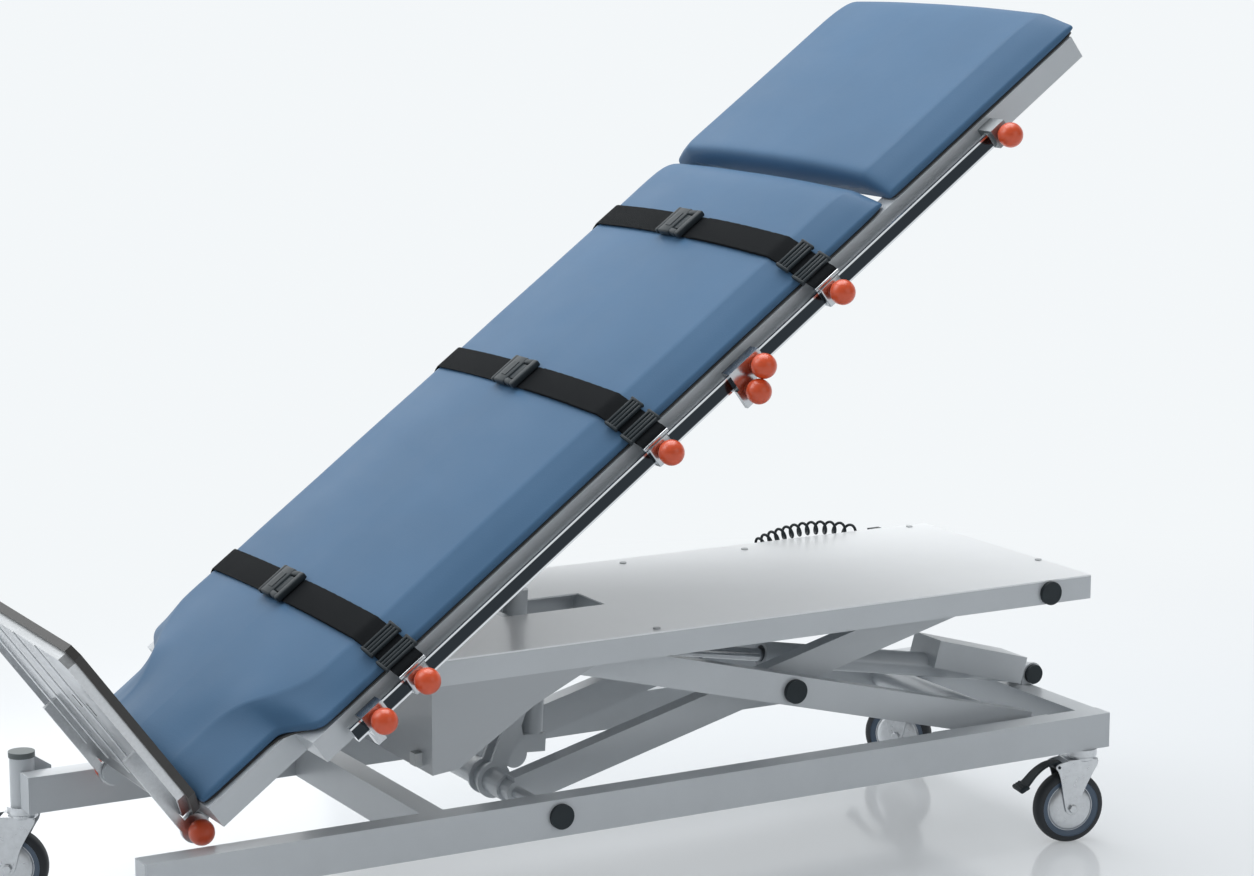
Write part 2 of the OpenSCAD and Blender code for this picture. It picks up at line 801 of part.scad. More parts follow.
// Two plates under the deck that hold the lower pin of the tilt actuator
module tilt_yoke() {
    half = tilt_eye_w / 2 + gap;
    x0 = deck_x0 + yoke_x;
    for (side = [-1, 1]) {
        edge = tilt_y + side * half;
        y0 = min(edge, edge + side * yoke_t);
        plate_y(y0, y0 + yoke_t) {
            translate(yoke_pivot) circle(r = yoke_r);
            polygon([[x0, deck_rail_top - stringer_h], [x0 + yoke_bar_w, deck_rail_top - stringer_h],
                yoke_pivot + [yoke_r, 0], yoke_pivot - [yoke_r, 0]]);
        }
    }
    bar_y(yoke_pivot, tilt_y - half - yoke_t, tilt_y + half + yoke_t, actuator_pin_d);
}

module deck_cover() {
    slot_x0 = deck_x0 + slot_x;
    color(light_paint) place() {
        difference() {
            block([deck_x0, -deck_outer, deck_rail_top], [deck_x1, deck_outer, deck_top]);
            block([slot_x0, slot_y0, deck_rail_top - over], [slot_x0 + slot_length, slot_y1, deck_top + over]);
        }
        block([deck_x0, -deck_outer, deck_top - panel_drop], [deck_x0 + panel_t, deck_outer, deck_top]);
        drop = panel_drop - (deck_top - deck_rail_z);
        both_sides() plate_y(deck_outer - panel_t, deck_outer)
            polygon([for (p = gusset_shares) [deck_x0 + p.x * gusset_length, deck_rail_z - p.y * drop]]);
    }
}

module pillow_blocks() {
    color(steel_paint) place() both_sides() difference() {
        union() {
            bar_y(tilt_pivot, block_y, block_y + block_w, 2 * block_r);
            block([tilt_pivot.x - block_r, block_y, deck_top], [tilt_pivot.x + block_r, block_y + block_w,
                tilt_pivot.y]);
        }
        block([tilt_pivot.x - 2 * block_r, block_y - over, deck_top - 2 * block_r],
            [tilt_pivot.x + 2 * block_r, block_y + block_w + over, deck_top]);
        bar_y(tilt_pivot, block_y - over, block_y + block_w + over, tilt_pin_d + 2 * fit);
    }
}

module deck_fittings() {
    color(dark_rubber) place() {
        both_sides() bar_y(deck_pivot, deck_outer, deck_outer + cap_t, cap_d);
        for (p = cover_screw_shares)
            translate([deck_x0 + p.x * deck_length, p.y * (deck_outer - cover_screw_d), deck_top])
                cylinder(h = cover_screw_t, d = cover_screw_d);
        block([deck_x0 - switch_x, switch_y, deck_top - switch_drop],
            [deck_x0, switch_y + switch_w, deck_top - switch_drop + switch_h]);
        handset_hook();
        cord_gland();
    }
}

// Bent strip on the far side of the deck that the handset hangs on
module handset_hook() {
    y1 = deck_outer + handset_gap;
    block([handset_x - hook_w / 2, deck_outer, deck_rail_z], [handset_x + hook_w / 2, deck_outer + hook_t,
        deck_rail_top]);
    block([handset_x - hook_w / 2, deck_outer, deck_rail_z], [handset_x + hook_w / 2, y1, deck_rail_z + hook_t]);
}

// Straight cord ends lie along the tangents of the arc that the curls follow
cord_arc_r = (pow(cord_span / 2, 2) + pow(cord_rise, 2)) / (2 * cord_rise);
cord_half_turn = asin(cord_span / 2 / cord_arc_r);
cord_centre = cord_mid + [0, cord_rise - cord_arc_r];

// Point on the arc, where share runs from 0 at the gland to 1 at the handset
function arc_angle(share) = 90 - cord_half_turn + 2 * cord_half_turn * share;
function arc_out(share) = [cos(arc_angle(share)), sin(arc_angle(share))];
function arc_point(share) = cord_centre + cord_arc_r * arc_out(share);

module cord_gland() {
    end = arc_point(0);
    translate([end.x, cord_y, end.y]) rotate([0, cord_half_turn + 90, 0]) cylinder(h = gland_l, d = gland_d);
    block([end.x + gland_l / 2, deck_outer, deck_rail_z],
        [end.x + gland_l / 2 + gland_block, cord_y + gland_d / 2, deck_rail_top]);
}

module handset() {
    y0 = deck_outer + handset_gap;
    end = arc_point(1);
    color([0.3, 0.32, 0.34]) place() {
        difference() {
            block([handset_x - handset_w / 2, y0, handset_top - handset_h],
                [handset_x + handset_w / 2, y0 + handset_t, handset_top]);
            for (z = rocker_heights()) block(
                [handset_x - rocker_w / 2 - gap, y0 + handset_t - rocker_sink - rocker_t, z - rocker_h / 2 - gap],
                [handset_x + rocker_w / 2 + gap, y0 + handset_t + over, z + rocker_h / 2 + gap]);
        }
        translate([end.x, cord_y, end.y]) rotate([0, -cord_half_turn - 90, 0])
            cylinder(h = gland_l, d = gland_d);
    }
}

function rocker_heights() = [handset_top - handset_h * 0.3, handset_top - handset_h * 0.62];

// Rocker key that turns on a small pin in its pocket
module rocker(which) {
    z = rocker_heights()[which];
    y1 = deck_outer + handset_gap + handset_t - rocker_sink / 2;
    color([0.8, 0.82, 0.84]) place() difference() {
        block([handset_x - rocker_w / 2, y1 - rocker_t, z - rocker_h / 2 + gap],
            [handset_x + rocker_w / 2, y1 + rocker_sink, z + rocker_h / 2 - gap]);
        for (side = [-1, 1]) translate([handset_x, y1 + rocker_sink, z + side * rocker_h / 2])
            rotate([side * -14, 0, 0]) translate([-rocker_w, 0, -rocker_h * 0.6])
                cube([2 * rocker_w, rocker_t, rocker_h * 1.2]);
    }
}

// Curly cord: an unbroken tube on a helix whose turns lie closer at the handset
curl_steps = curls * curl_rings;
cord_stretch = 0.32;
function turn_share(t) = t + cord_stretch * t * (1 - t);
function helix_share(t) = cord_lead_share + (1 - 2 * cord_lead_share) * t;
function curl_point(t) = let (a = 360 * curls * (1 - turn_share(1 - t)), share = helix_share(t),
    out = arc_out(share), mid = arc_point(share),
    grow = min(1, min(t, 1 - t) * curls * 1.2))
    [mid.x + grow * curl_r * cos(a) * out.x, cord_y + grow * curl_r * sin(a), mid.y + grow * curl_r * cos(a) * out.y];
function arc_3d(share) = [arc_point(share).x, cord_y, arc_point(share).y];
cord_points = concat([arc_3d(0), arc_3d(cord_lead_share * 0.6)],
    [for (i = [0:curl_steps]) curl_point(i / curl_steps)],
    [arc_3d(1 - cord_lead_share * 0.6), arc_3d(1)]);

function unit(v) = v / norm(v);
function heading(pts, i) = unit(pts[min(i + 1, len(pts) - 1)] - pts[max(i - 1, 0)]);
function ring(pts, i, d) = let (t = heading(pts, i), side = unit(cross(t, [0.3, 1, 0.2])), up = cross(side, t))
    [for (k = [0:cord_sides - 1]) pts[i] + d / 2 * (cos(360 * k / cord_sides) * side
        + sin(360 * k / cord_sides) * up)];

// Tube along a list of points, closed with a fan at each end
module swept_tube(pts, d) {
    n = len(pts);
    m = cord_sides;
    points = concat([for (i = [0:n - 1]) each ring(pts, i, d)], [pts[0], pts[n - 1]]);
    sides = [for (i = [0:n - 2], k = [0:m - 1]) each [
        [i * m + k, (i + 1) * m + k, i * m + (k + 1) % m],
        [i * m + (k + 1) % m, (i + 1) * m + k, (i + 1) * m + (k + 1) % m]]];
    ends = [for (k = [0:m - 1]) each [[n * m, k, (k + 1) % m],
        [n * m + 1, (n - 1) * m + (k + 1) % m, (n - 1) * m + k]]];
    polyhedron(points = points, faces = concat(sides, ends));
}

// Least space between turns, printed as a check on the curl sizes
cord_least_gap = min([for (i = [0:curl_steps - curl_rings])
    min([for (j = [i + curl_rings * 0.6:1:min(i + curl_rings * 1.4, curl_steps)])
        norm(curl_point(i / curl_steps) - curl_point(j / curl_steps))])]) - cord_d;
echo(least_gap_between_curls = cord_least_gap);  // handset_cord

module handset_cord() {
    color(dark_rubber) place() swept_tube(cord_points, cord_d);
}

// Tilt actuator

module along_tilt(at) {
    translate([at.x, tilt_y, at.y]) rotate([0, 90 - tilt_slope, 0]) children();
}

module tilt_actuator() {
    half = tilt_eye_w / 2;
    color(steel_paint) place() difference() {
        union() {
            bar_y(yoke_pivot, tilt_y - half, tilt_y + half, tilt_tube_d);
            along_tilt(yoke_pivot) {
                cylinder(h = tilt_tube_length, d = tilt_tube_d);
                block([0, -tilt_motor_d / 2, 0],
                    [tilt_motor_offset + tilt_motor_d / 2, tilt_motor_d / 2, tilt_gear_h]);
                translate([tilt_motor_offset, 0, 0]) cylinder(h = tilt_motor_length, d = tilt_motor_d);
            }
        }
        bar_y(yoke_pivot, tilt_y - half - over, tilt_y + half + over, actuator_pin_d + 2 * fit);
        along_tilt(yoke_pivot) translate([0, 0, tilt_tube_floor])
            cylinder(h = tilt_tube_length, d = tilt_bore_d);
    }
}

module tilt_rod() {
    color(chrome_tone) place() difference() {
        union() {
            bar_y(top_pivot, tilt_y - rod_eye_w / 2, tilt_y + rod_eye_w / 2, 2 * rod_eye_r);
            along_tilt(top_pivot) translate([0, 0, -tilt_rod_length])
                cylinder(h = tilt_rod_length, d = tilt_rod_d);
        }
        bar_y(top_pivot, tilt_y - rod_eye_w, tilt_y + rod_eye_w, actuator_pin_d + 2 * fit);
    }
}

// Tabletop, drawn in its own directions

module table_frame() {
    color(steel_paint) on_table() {
        both_sides() {
            tube_x([0, table_inner, -table_tube], [table_length, table_outer, 0]);
            tube_x([-foot_length, foot_inner, -table_tube], [0, foot_outer, 0]);
            tilt_lug();
            footplate_lug();
        }
        block([0, -table_inner, -table_tube], [table_tube, table_inner, 0]);
        block([-foot_length, -foot_inner, -table_tube], [brace_w - foot_length, foot_inner, -brace_gap]);
        for (s = concat([pivot_s - brace_w / 2, top_pivot_s - brace_w / 2], brace_s))
            block([s, -table_inner, -table_tube], [s + brace_w, table_inner, -brace_gap]);
        rod_lugs();
    }
}

// Ear beside the pillow block, with the tilt pin
module tilt_lug() {
    y0 = block_y + block_w + gap;
    plate_y(y0, y0 + lug_t) {
        translate([pivot_s, pivot_h]) circle(r = lug_eye_r);
        polygon([[pivot_s - lug_reach, -table_tube], [pivot_s - lug_eye_r, pivot_h],
            [pivot_s + lug_eye_r, pivot_h], [pivot_s + lug_reach, -table_tube]]);
    }
    bar_y([pivot_s, pivot_h], block_y, y0 + over, tilt_pin_d);
}

// Ear at the end of the foot section, with the pin of the footplate
module footplate_lug() {
    y1 = hinge_arm_y - gap;
    y0 = y1 - hinge_arm_t;
    plate_y(y0, y1) {
        translate([hinge_s, hinge_h]) circle(r = hinge_lug_r);
        polygon([[hinge_s, hinge_h - hinge_lug_r], [hinge_s - hinge_lug_r * 0.5, hinge_h + hinge_lug_r * 0.86],
            [-foot_length, -plate_drop - lug_gap], [brace_w - foot_length, -brace_gap * 2],
            [brace_w - foot_length, -table_tube]]);
    }
    bar_y([hinge_s, hinge_h], y0, hinge_arm_y + hinge_arm_t, hinge_pin_d);
}

// Two ears under a brace that hold the upper pin of the tilt actuator
module rod_lugs() {
    at = [top_pivot_s, top_pivot_h];
    half = rod_eye_w / 2 + gap;
    for (side = [-1, 1]) {
        edge = tilt_y + side * half;
        y0 = min(edge, edge + side * lever_t);
        plate_y(y0, y0 + lever_t) {
            translate(at) circle(r = lever_tip_r);
            polygon([at - [lever_tip_r, 0], at + [lever_tip_r, 0], [at.x + lever_tip_r, -table_tube],
                [at.x - lever_tip_r, -table_tube]]);
        }
    }
    bar_y(at, tilt_y - half - lever_t, tilt_y + half + lever_t, actuator_pin_d);
}

function main_length() = main_end_s + foot_length;
function main_half(share) = foot_half * min(share, 1) + (table_outer - foot_half) * max(share - 1, 0);
function main_outline(inset) = [for (p = main_shares) [-foot_length + inset + p.x * (main_length() - 2 * inset),
    main_half(p.y) - inset]];

// Flat board in the outline of a cushion
module board(outline) {
    translate([0, 0, 0]) linear_extrude(board_t)
        polygon(concat([for (p = outline) [p.x, p.y]],
            [for (i = [len(outline) - 1:-1:0]) [outline[i].x, -outline[i].y]]));
}

module table_board() {
    color(steel_paint) on_table() board(main_outline(board_inset));
}

function head_outline(inset) = [for (p = head_shares) [main_end_s + cushion_gap + inset
    + p.x * (head_length - 2 * inset), p.y * table_outer - inset]];

module head_board() {
    color(steel_paint) on_table() board(head_outline(board_inset));
}

// Half section of a cushion from its underside to its middle, for a half width and a share of the height
function half_section(w, share) = let (c = w - bevel_w * min(1, w / table_outer * 1.02))
    concat([[w - cushion_draw, 0], [w, cushion_edge_h * 0.4 * share], [w - over, cushion_edge_h * share]],
        [for (i = [1:bevel_steps]) let (k = i / (bevel_steps + 1)) [w - over + (c - w + over) * k,
            (cushion_edge_h + (bevel_h - cushion_edge_h) * k + bevel_swell * sin(180 * k)) * share]],
        [for (i = [0:crown_steps]) let (y = c * (1 - i / crown_steps)) [y,
            (bevel_h + (cushion_h - board_t - bevel_h) * (1 - pow(y / c, 2))) * share]]);
function mirrored(half) = [for (i = [len(half) - 2:-1:0]) [-half[i].x, half[i].y]];
function section(w, share) = let (half = half_section(w, share)) concat(half, mirrored(half));

// Cushion as a skin over sections along s, from rows of distance along it, half width and share of the height
module cushion(s0, length, rows) {
    rings = [for (p = rows) [for (q = section(p.y, p.z)) [s0 + p.x * length, q.x, cushion_base + q.y]]];
    n = len(rings);
    m = len(rings[0]);
    points = concat([for (r = rings) each r],
        [[s0, 0, cushion_base + bevel_h * rows[0].z / 2],
         [s0 + length, 0, cushion_base + bevel_h * rows[n - 1].z / 2]]);
    sides = [for (i = [0:n - 2], k = [0:m - 1]) each [
        [i * m + k, i * m + (k + 1) % m, (i + 1) * m + k],
        [i * m + (k + 1) % m, (i + 1) * m + (k + 1) % m, (i + 1) * m + k]]];
    ends = [for (k = [0:m - 1]) each [[n * m, (k + 1) % m, k],
        [n * m + 1, (n - 1) * m + k, (n - 1) * m + (k + 1) % m]]];
    polyhedron(points = points, faces = concat(sides, ends));
}

module main_cushion() {
    rows = [for (p = main_shares) [p.x, main_half(p.y), p.z]];
    color(upholstery_blue) on_table() cushion(-foot_length, main_length(), rows);
}

module head_cushion() {
    rows = [for (p = head_shares) [p.x, p.y * table_outer, p.z]];
    color(upholstery_blue) on_table() cushion(main_end_s + cushion_gap, head_length, rows);
}

module accessory_rails() {
    color([0.25, 0.26, 0.28]) on_table() {
        both_sides() {
            block([bar_s0, bar_y, -bar_drop - bar_h], [bar_s1, bar_outer, -bar_drop]);
            for (s = standoff_s) bar_y([s, bar_mid_h], table_outer, bar_y, standoff_d);
        }
        difference() {
            block([bar_s1, -bar_outer - clamp_t, bar_mid_h - socket_h / 2],
                [bar_s1 + socket_l, -table_outer, bar_mid_h + socket_h / 2]);
            bar_y([bar_s1 + socket_l / 2, bar_mid_h], -bar_outer - clamp_t - over, -bar_outer,
                knob_stem_d + 2 * fit);
        }
    }
}

// Clamp around the accessory rail on the near side
module rail_clamp(s, length, drop) {
    low = -bar_drop - bar_h;
    y0 = -bar_outer - gap;
    difference() {
        union() {
            block([s - length / 2, y0 - clamp_t, low - gap - clamp_lip_t - drop],
                [s + length / 2, y0, -bar_drop + gap + clamp_lip_t]);
            block([s - length / 2, y0 - over, -bar_drop + gap],
                [s + length / 2, -bar_y + gap + clamp_lip_t, -bar_drop + gap + clamp_lip_t]);
            block([s - length / 2, -bar_y + gap, -bar_drop - clamp_lip],
                [s + length / 2, -bar_y + gap + clamp_lip_t, -bar_drop + gap + clamp_lip_t]);
            block([s - length / 2, y0 - over, low - gap - clamp_lip_t],
                [s + length / 2, -bar_y + gap + clamp_lip_t, low - gap]);
            block([s - length / 2, -bar_y + gap, low - gap - clamp_lip_t],
                [s + length / 2, -bar_y + gap + clamp_lip_t, low + clamp_lip]);
        }
        children();
    }
}

module stem_hole(s, h) {
    y0 = -bar_outer - gap;
    bar_y([s, h], y0 - clamp_t - over, y0 + over, knob_stem_d + 2 * fit);
}

// Near clamp with its knob hole, far hook and buckle of one strap
module strap_clamps(s) {
    color(chrome_tone) on_table() {
        rail_clamp(s, clamp_l, 0) stem_hole(s, bar_mid_h);
        mirror([0, 1, 0]) rail_clamp(s, clamp_l, 0) stem_hole(s, bar_mid_h + table_width);
    }
    color(webbing_black) on_table() {
        top = cushion_base + cushion_h - board_t + web_gap + web_t;
        block([s - buckle_w / 2, buckle_y - buckle_l / 2, top], [s + buckle_w / 2, buckle_y + buckle_l / 2,
            top + buckle_t]);
    }
}

module cushion_outline() {
    translate([0, cushion_base]) polygon(section(table_outer, 1));
}

// Webbing over the cushion, from the near clamp to the far hook
module strap_webbing(s) {
    clamp_y = bar_outer + gap + clamp_t / 2;
    color(webbing_black) on_table() plate_x(s - strap_w / 2, s + strap_w / 2) {
        difference() {
            offset(delta = web_gap + web_t) cushion_outline();
            offset(delta = web_gap) cushion_outline();
            translate([-table_width, -table_width]) square([2 * table_width, table_width + cushion_base
                + cushion_edge_h * 0.4]);
        }
        for (side = [-1, 1]) hull() {
            translate([side * clamp_y, web_end_h]) square(web_t, center = true);
            translate([side * (table_outer + web_gap + web_t / 2), cushion_base + cushion_edge_h * 0.5])
                square(web_t, center = true);
        }
    }
}

module strap_knob(s) {
    color(orange_plastic) on_table() knob([s, bar_mid_h], bar_outer + gap + clamp_t, -1, clamp_t);
}

module foot_clamp() {
    y1 = -bar_outer - gap - clamp_t;
    color(chrome_tone) on_table() {
        rail_clamp(foot_clamp_s, clamp_l, 0) stem_hole(foot_clamp_s, bar_mid_h);
        block([foot_clamp_s - clamp_l / 2, -bar_y, -bar_drop - bar_h - gap - clamp_lip_t - foot_clamp_drop],
            [foot_clamp_s - clamp_l / 2 + foot_clamp_block, -bar_y + foot_clamp_block,
            -bar_drop - bar_h - gap]);
    }
}

module double_clamp() {
    front = double_clamp_s + double_front_s;
    low = double_clamp_s + double_low_s;
    color(chrome_tone) on_table() {
        rail_clamp(double_clamp_s, double_clamp_l, 0) {
            stem_hole(front, bar_mid_h);
            stem_hole(low, bar_mid_h - table_width);
        }
        difference() {
            block([low - clamp_l / 2, -bar_outer - gap - clamp_t, bar_mid_h - double_low_drop - clamp_l / 2],
                [low + clamp_l / 2, -bar_outer - gap, -bar_drop - bar_h - gap]);
            stem_hole(low, bar_mid_h - double_low_drop);
        }
    }
}

module side_knob(s, h) {
    color(orange_plastic) on_table() knob([s, h], bar_outer + gap + clamp_t, -1, clamp_t);
}

module head_socket_knob() {
    color(orange_plastic) on_table()
        knob([bar_s1 + socket_l / 2, bar_mid_h], bar_outer + clamp_t, -1, clamp_t - over);
}

// Footplate, drawn upright at the end of the foot section

module plate_outline(inset) {
    half = plate_width / 2 - inset;
    low = -plate_drop + inset;
    high = plate_height - inset;
    polygon([[plate_chamfer_y - half, low], [half - plate_chamfer_y, low], [half, low + plate_chamfer_h],
        [half, high - plate_corner], [half - plate_corner, high], [plate_corner - half, high],
        [-half, high - plate_corner], [-half, low + plate_chamfer_h]]);
}

module footplate_board() {
    s1 = -foot_length - plate_gap;
    color([0.25, 0.23, 0.22]) on_table() plate_x(s1 - plate_t, s1) plate_outline(0);
}

module footplate_frame() {
    s1 = -foot_length - plate_gap - plate_t;
    color(zinc) on_table() {
        difference() {
            plate_x(s1 - tray_t, s1) plate_outline(tray_inset);
            plate_x(s1 - tray_t - over, s1 - tray_wall) plate_outline(tray_inset + tray_wall);
        }
        both_sides() difference() {
            union() {
                bar_y([hinge_s, hinge_h], hinge_arm_y, hinge_arm_y + hinge_arm_t, 2 * hinge_r);
                block([s1 - tray_t - hinge_arm_w, hinge_arm_y, hinge_h],
                    [s1 - tray_t, hinge_arm_y + hinge_arm_t, hinge_arm_top]);
                block([s1 - tray_t - over, hinge_arm_y, -plate_drop + tray_inset],
                    [s1 - over, hinge_arm_y + hinge_arm_t, hinge_arm_top]);
            }
            bar_y([hinge_s, hinge_h], hinge_arm_y - over, hinge_arm_y + hinge_arm_t + over,
                hinge_pin_d + 2 * fit);
        }
    }
}

module footplate_knob(side) {
    color(orange_plastic) on_table() knob([hinge_s, hinge_h], hinge_arm_y + hinge_arm_t, side, 0);
}

base_rails();
base_cross_members();
foot_posts();
base_caps();
caster_heads();
caster_fork(0);  // caster_fork_near_foot
caster_fork(1);  // caster_fork_far_foot
caster_fork(2);  // caster_fork_near_head
caster_fork(3);  // caster_fork_far_head
caster_wheel(0);  // caster_wheel_near_foot
caster_wheel(1);  // caster_wheel_far_foot
caster_wheel(2);  // caster_wheel_near_head
caster_wheel(3);  // caster_wheel_far_head
caster_brake(0);  // caster_brake_near_foot
caster_brake(1);  // caster_brake_far_foot
caster_brake(2);  // caster_brake_near_head
caster_brake(3);  // caster_brake_far_head
inner_arm_frame();
outer_arm_frame();
mid_pivots();
base_roller_shaft();
deck_roller_piece(-1);  // deck_roller_near
deck_roller_piece(1);  // deck_roller_far
lift_actuator();
lift_rod();
deck_frame();
deck_cover();
pillow_blocks();
deck_fittings();
handset();
rocker(0);  // height_rocker
rocker(1);  // tilt_rocker
handset_cord();
tilt_actuator();
tilt_rod();
table_frame();
table_board();
accessory_rails();
main_cushion();
head_board();
head_cushion();
footplate_frame();
footplate_board();
footplate_knob(-1);  // footplate_knob_near
footplate_knob(1);  // footplate_knob_far
strap_webbing(chest_strap_s);  // chest_strap_webbing
strap_webbing(hip_strap_s);  // hip_strap_webbing
strap_webbing(shin_strap_s);  // shin_strap_webbing
strap_clamps(chest_strap_s);  // chest_strap_clamps
strap_clamps(hip_strap_s);  // hip_strap_clamps
strap_clamps(shin_strap_s);  // shin_strap_clamps
strap_knob(chest_strap_s);  // chest_strap_knob
strap_knob(hip_strap_s);  // hip_strap_knob
strap_knob(shin_strap_s);  // shin_strap_knob
foot_clamp();
side_knob(foot_clamp_s, bar_mid_h);  // foot_clamp_knob
double_clamp();
side_knob(double_clamp_s + double_front_s, bar_mid_h);  // double_clamp_front_knob
side_knob(double_clamp_s + double_low_s,  // double_clamp_low_knob
    bar_mid_h - double_low_drop);
head_socket_knob();
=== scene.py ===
"""Physiotherapy tilt table: the looks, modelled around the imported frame, in metres and its axes."""
import json
from math import asin, cos, exp, pi, radians, sin

import bmesh
import bpy
from mathutils import Matrix, Vector, noise


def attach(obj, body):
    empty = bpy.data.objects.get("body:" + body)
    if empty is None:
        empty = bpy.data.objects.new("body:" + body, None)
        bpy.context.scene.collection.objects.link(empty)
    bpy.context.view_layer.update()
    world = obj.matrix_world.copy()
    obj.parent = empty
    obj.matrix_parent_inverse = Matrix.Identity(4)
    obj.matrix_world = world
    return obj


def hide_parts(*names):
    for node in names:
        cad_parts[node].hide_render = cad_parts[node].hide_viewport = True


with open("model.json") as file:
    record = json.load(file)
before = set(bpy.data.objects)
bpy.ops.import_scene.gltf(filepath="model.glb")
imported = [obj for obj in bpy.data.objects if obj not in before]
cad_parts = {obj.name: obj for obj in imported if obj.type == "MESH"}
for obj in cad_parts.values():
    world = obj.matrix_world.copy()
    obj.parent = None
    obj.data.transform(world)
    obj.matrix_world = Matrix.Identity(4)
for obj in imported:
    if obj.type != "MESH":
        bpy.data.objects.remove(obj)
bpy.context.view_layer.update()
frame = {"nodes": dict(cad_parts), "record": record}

# Places taken from the frame
JOINTS = {joint["name"]: joint for joint in frame["record"]["behaviour"]["joints"]}
TILT_AXIS = Vector(JOINTS["tilt"]["pos_m"])
MID_Y = TILT_AXIS.y
RAIL_DIR = Vector(JOINTS["chest_strap_slide"]["axis"]).normalized()
ACROSS = Vector((0, 1, 0))
RAIL_UP = RAIL_DIR.cross(ACROSS).normalized()

# The CAD source has the tilt pivot at this x, and the frame's origin lies elsewhere
SOURCE_PIVOT_X = 0.492
ORIGIN_X = SOURCE_PIVOT_X - TILT_AXIS.x

# Tabletop sizes: s runs along the side rails, h square to them, zero at their top foot corner
PIVOT_S = 0.257
PIVOT_H = -0.078
TABLE_HALF = 0.336
FOOT_S = -0.167
MAIN_END_S = 1.236
HEAD_START_S = 1.252
HEAD_LENGTH = 0.436
FOOT_HALF = 0.252
BAR_OUTER = 0.364
BAR_MID_H = -0.0245
SOCKET_S = 1.4365
STRAP_W = 0.050
STRAPS = {"chest": 1.068, "hip": 0.690, "shin": 0.179}

# Camera as solved from the photograph: target, direction and lens
CAMERA_TARGET = Vector((0.95875 - ORIGIN_X, MID_Y, 0.73018))
CAMERA_AZIMUTH = -29.23
CAMERA_ELEVATION = 10.05
CAMERA_DISTANCE = 5.273
FOCAL_PX = 3216.0
IMAGE_W = 1254.0
IMAGE_H = 876.0
PRINCIPAL = (630.3, 435.4)
SENSOR_MM = 36.0


def on_top(s, y, h):
    """Point of the tabletop, where y is counted from the middle of the table."""
    base = Vector((TILT_AXIS.x, MID_Y, TILT_AXIS.z))
    return base + RAIL_DIR * (s - PIVOT_S) + ACROSS * y + RAIL_UP * (h - PIVOT_H)


def top_matrix(s, y, h):
    """Matrix that puts a shape drawn in x along, y across and z up onto the tabletop."""
    rot = Matrix((RAIL_DIR, ACROSS, RAIL_UP)).transposed().to_4x4()
    return Matrix.Translation(on_top(s, y, h)) @ rot


# Materials


def new_material(name):
    """New material with its node tree and its main shader."""
    mat = bpy.data.materials.new(name)
    mat.use_nodes = True
    tree = mat.node_tree
    return mat, tree, tree.nodes["Principled BSDF"]


def add_node(tree, kind, **values):
    """New node, whose named values are plain inputs where it has them, and else its settings."""
    node = tree.nodes.new(kind)
    for key, value in values.items():
        if key in node.inputs:
            node.inputs[key].default_value = value
        else:
            setattr(node, key, value)
    return node


def object_coords(tree, scale=(1, 1, 1)):
    coords = tree.nodes.new("ShaderNodeTexCoord")
    mapping = add_node(tree, "ShaderNodeMapping", Scale=scale)
    tree.links.new(coords.outputs["Object"], mapping.inputs["Vector"])
    return mapping.outputs["Vector"]


def noise_texture(tree, vector, scale, detail=4.0, rough=0.5):
    node = add_node(tree, "ShaderNodeTexNoise", Scale=scale, Detail=detail, Roughness=rough)
    tree.links.new(vector, node.inputs["Vector"])
    return node.outputs["Fac"]


def colour_ramp(tree, value, low, high, start=0.35, end=0.65):
    ramp = tree.nodes.new("ShaderNodeValToRGB")
    ramp.color_ramp.elements[0].position = start
    ramp.color_ramp.elements[0].color = (*low, 1)
    ramp.color_ramp.elements[1].position = end
    ramp.color_ramp.elements[1].color = (*high, 1)
    tree.links.new(value, ramp.inputs["Fac"])
    return ramp.outputs["Color"]


def value_range(tree, value, low, high, start=0.0, end=1.0, kind="LINEAR"):
    """Maps what lies between start and end to what lies between low and high."""
    node = add_node(tree, "ShaderNodeMapRange", interpolation_type=kind)
    for name, number in (("From Min", start), ("From Max", end), ("To Min", low), ("To Max", high)):
        node.inputs[name].default_value = number
    tree.links.new(value, node.inputs["Value"])
    return node.outputs["Result"]


def set_input(tree, socket, value):
    """Links a socket to another one, or gives it a plain value."""
    if isinstance(value, bpy.types.NodeSocket):
        tree.links.new(value, socket)
    else:
        socket.default_value = value


def math_node(tree, operation, *values, kind="ShaderNodeMath", clamp=False):
    """Result of a maths node, where each input is a socket or a plain value."""
    node = add_node(tree, kind, operation=operation)
    if clamp:
        node.use_clamp = True
    for socket, value in zip(node.inputs, values):
        set_input(tree, socket, value)
    return node.outputs["Value"]


def split_axes(tree, space):
    """The three numbers of a texture coordinate, by the names of their axes."""
    coords = tree.nodes.new("ShaderNodeTexCoord")
    split = tree.nodes.new("ShaderNodeSeparateXYZ")
    tree.links.new(coords.outputs[space], split.inputs["Vector"])
    return split.outputs


def bump(tree, shader, height, strength, distance):
    node = add_node(tree, "ShaderNodeBump", Strength=strength, Distance=distance)
    tree.links.new(height, node.inputs["Height"])
    tree.links.new(node.outputs["Normal"], shader.inputs["Normal"])


def shade(colour, factor):
    return tuple(min(1.0, channel * factor) for channel in colour)


def zone_mask(tree, limits):
    """One inside a box of the frame's axes, given as (axis, low, high) rows, and zero outside it."""
    place = split_axes(tree, "Object")
    total = 1.0
    for axis, low, high in limits:
        inside = math_node(tree, "COMPARE", place[axis], (low + high) / 2, (high - low) / 2)
        total = math_node(tree, "MULTIPLY", total, inside)
    return total


